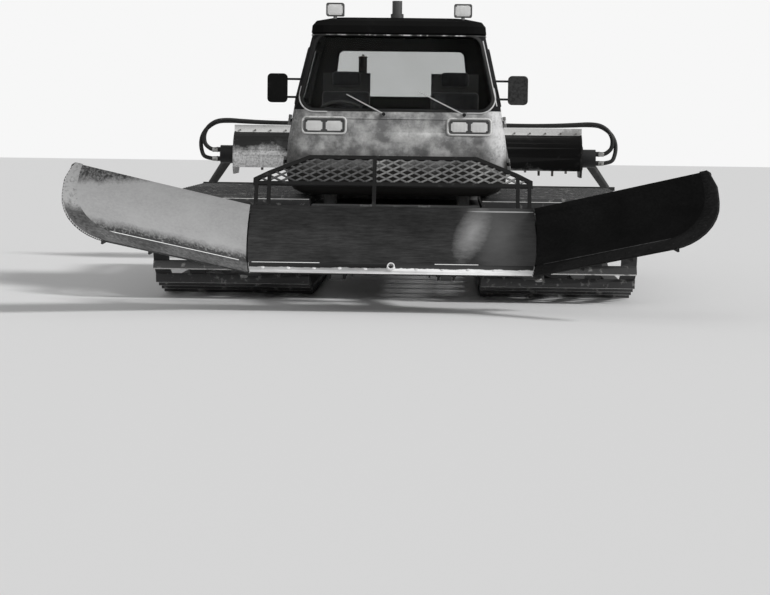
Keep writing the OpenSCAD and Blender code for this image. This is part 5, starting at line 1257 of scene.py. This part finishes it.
# The tiller: a hood of folded black sheet, paler along its lower side and higher up towards its left end, with
# a pale box beam bolted along it, motors at its ends, a drum of cutters under it and a rubber comb behind.
tiller_paint = aged_finish("tiller_paint", (0.009, 0.009, 0.010), 0.05, 0.3, 0.06, 4.0, (0.45, 0.65),
                           shine=0.2)
beam_paint = aged_finish("beam_paint", (0.66, 0.66, 0.65), (0.36, 0.36, 0.35), 0.42, 0.15, 4.0, (0.5, 0.65),
                         dust_colour=0.75)
drum_metal = aged_finish("drum_metal", (0.12, 0.11, 0.10), (0.32, 0.31, 0.30), 0.45, 0.2, 10.0, (0.35, 0.6),
                         metal=0.6)
comb_rubber = aged_finish("comb_rubber", 0.014, 0.045, 0.35, 0.08, 12.0, (0.6, 0.8), shine=0.3)
dress(tiller_paint, "tiller_drives")
dress(comb_rubber, "smoothing_frame")
dress(drum_metal, "cutter_drum")
hood_paint = aged_finish("hood_paint", 0.006, 0.03, 0.3, 0.03, 4.0, (0.5, 0.65), shine=0.12)
# Painted light: the hood's pale lower band reaches higher towards the left end, painted as lit, and lower
# towards the right end, painted as in shade.
stain_and_shade_band(hood_paint, 0.58, (0.0833, 0.0, 1.0), 1.125, 0.995, ragged=0.35, strength=0.9)
dressed_copy("tiller_hood", [hood_paint, beam_paint],
             lambda spot, normal: int(1.3355 < spot.z < 1.4415 and 3.0295 < spot.y < 3.180), "tiller")
hood_skin = skin_of("tiller_hood")
bolts = bmesh.new()
beam_front, beam_bolt_z = 2.9, 1.388
for spot in set_down(hood_skin, [(-1.76 + 0.16 * i, 2.5, beam_bolt_z) for i in range(23)], (0, 1, 0)):
    if spot.y > beam_front:
        add_hex_head(bolts, spot, (0, -1, 0), across=0.020, height=0.009)
new_piece("beam_bolts", bolts, bolt_steel, "tiller")

# Drive hoses: four thick rubber hoses with a wound cover, crimped at both ends, that run from the valve block
# along the beam and loop down to the motors.
hose_rubber = aged_finish("hose_rubber", 0.007, 0.035, 0.35, 0.05, 30.0, (0.5, 0.7), bump=0.25, shine=0.25)
hose_steel = aged_finish("hose_steel", (0.40, 0.40, 0.39), (0.14, 0.14, 0.13), 0.45, 0.1, 26.0, (0.3, 0.5),
                         metal=0.9)
port_end = 2.0013
drum_y, drum_z = 3.0898, 1.130
routes = [
    [(0.2903, 0, 0.338), (0.400, -0.001, 0.338), (0.700, -0.006, 0.336), (1.000, -0.004, 0.337),
     (1.300, 0, 0.336), (1.550, 0.002, 0.342), (1.750, 0.004, 0.352), (1.900, 0.005, 0.360),
     (2.010, 0.006, 0.347), (2.090, 0.006, 0.300), (2.134, 0.005, 0.235), (2.146, 0.004, 0.170),
     (2.132, 0.002, 0.105), (port_end + 0.085, 0, 0.062), (port_end + 0.045, 0, 0.048),
     (port_end, 0, 0.048)],
    [(0.2903, 0.050, 0.338), (0.420, 0.052, 0.338), (0.720, 0.054, 0.336), (1.000, 0.052, 0.335),
     (1.280, 0.050, 0.336), (1.530, 0.053, 0.338), (1.730, 0.056, 0.344), (1.880, 0.058, 0.349),
     (2.010, 0.061, 0.338), (2.110, 0.060, 0.280), (2.165, 0.056, 0.205), (2.184, 0.048, 0.125),
     (2.174, 0.028, 0.040), (2.142, 0.008, -0.022), (port_end + 0.060, 0, -0.046), (port_end, 0, -0.048)],
]


def curve_through(points, n=6):
    """A smooth line through points."""
    pts = [Vector(p) for p in points]
    pts = [pts[0] * 2 - pts[1]] + pts + [pts[-1] * 2 - pts[-2]]
    out = []
    for i in range(1, len(pts) - 2):
        p0, p1, p2, p3 = pts[i - 1:i + 3]
        for k in range(n):
            t = k / n
            out.append(0.5 * ((2 * p1) + (p2 - p0) * t + (2 * p0 - 5 * p1 + 4 * p2 - p3) * t * t
                              + (3 * p1 - p0 - 3 * p2 + p3) * t ** 3))
    return out + [pts[-2]]


ends = bmesh.new()
for side, name in SIDES:
    for i, route in enumerate(routes):
        line = curve_through([(side * x, drum_y + y, drum_z + z) for x, y, z in route])
        new_tube("drive_hose_%s_%d" % (name, i + 1), line, 0.0215, hose_rubber, "tiller", sides=4,
                 replaces=("tiller_hoses",))
        for at, way in ((line[0], line[3] - line[0]), (line[-1], line[-4] - line[-1])):
            add_round(ends, at, way, 0.0245, 0.058, chamfer=0.004)
            add_round(ends, at, way, 0.0275, 0.014, chamfer=0.003, sides=6)
new_piece("hose_ends", ends, hose_steel, "tiller", smooth=35)

# The valve block on the beam: a machined steel body with a row of hexagon plugs in round bosses on its front
# face, held down by a bolt at each corner.
valve = bmesh.new()
add_block(valve, (0, drum_y + 0.025, 1.4722), (0.580, 0.110, 0.062))
for x in (-0.20 + 0.10 * i for i in range(5)):
    add_round(valve, (x, drum_y - 0.030, 1.472), (0, -1, 0), 0.017, 0.012, chamfer=0.003)
    add_hex_head(valve, (x, drum_y - 0.040, 1.472), (0, -1, 0))
for x in (-0.25, 0.25):
    for y in (-0.012, 0.062):
        add_hex_head(valve, (x, drum_y + y, 1.503), (0, 0, 1), across=0.017, height=0.008)
new_piece("valve_block", valve, hose_steel, "tiller", smooth=35, replaces=("tiller_hoses",))
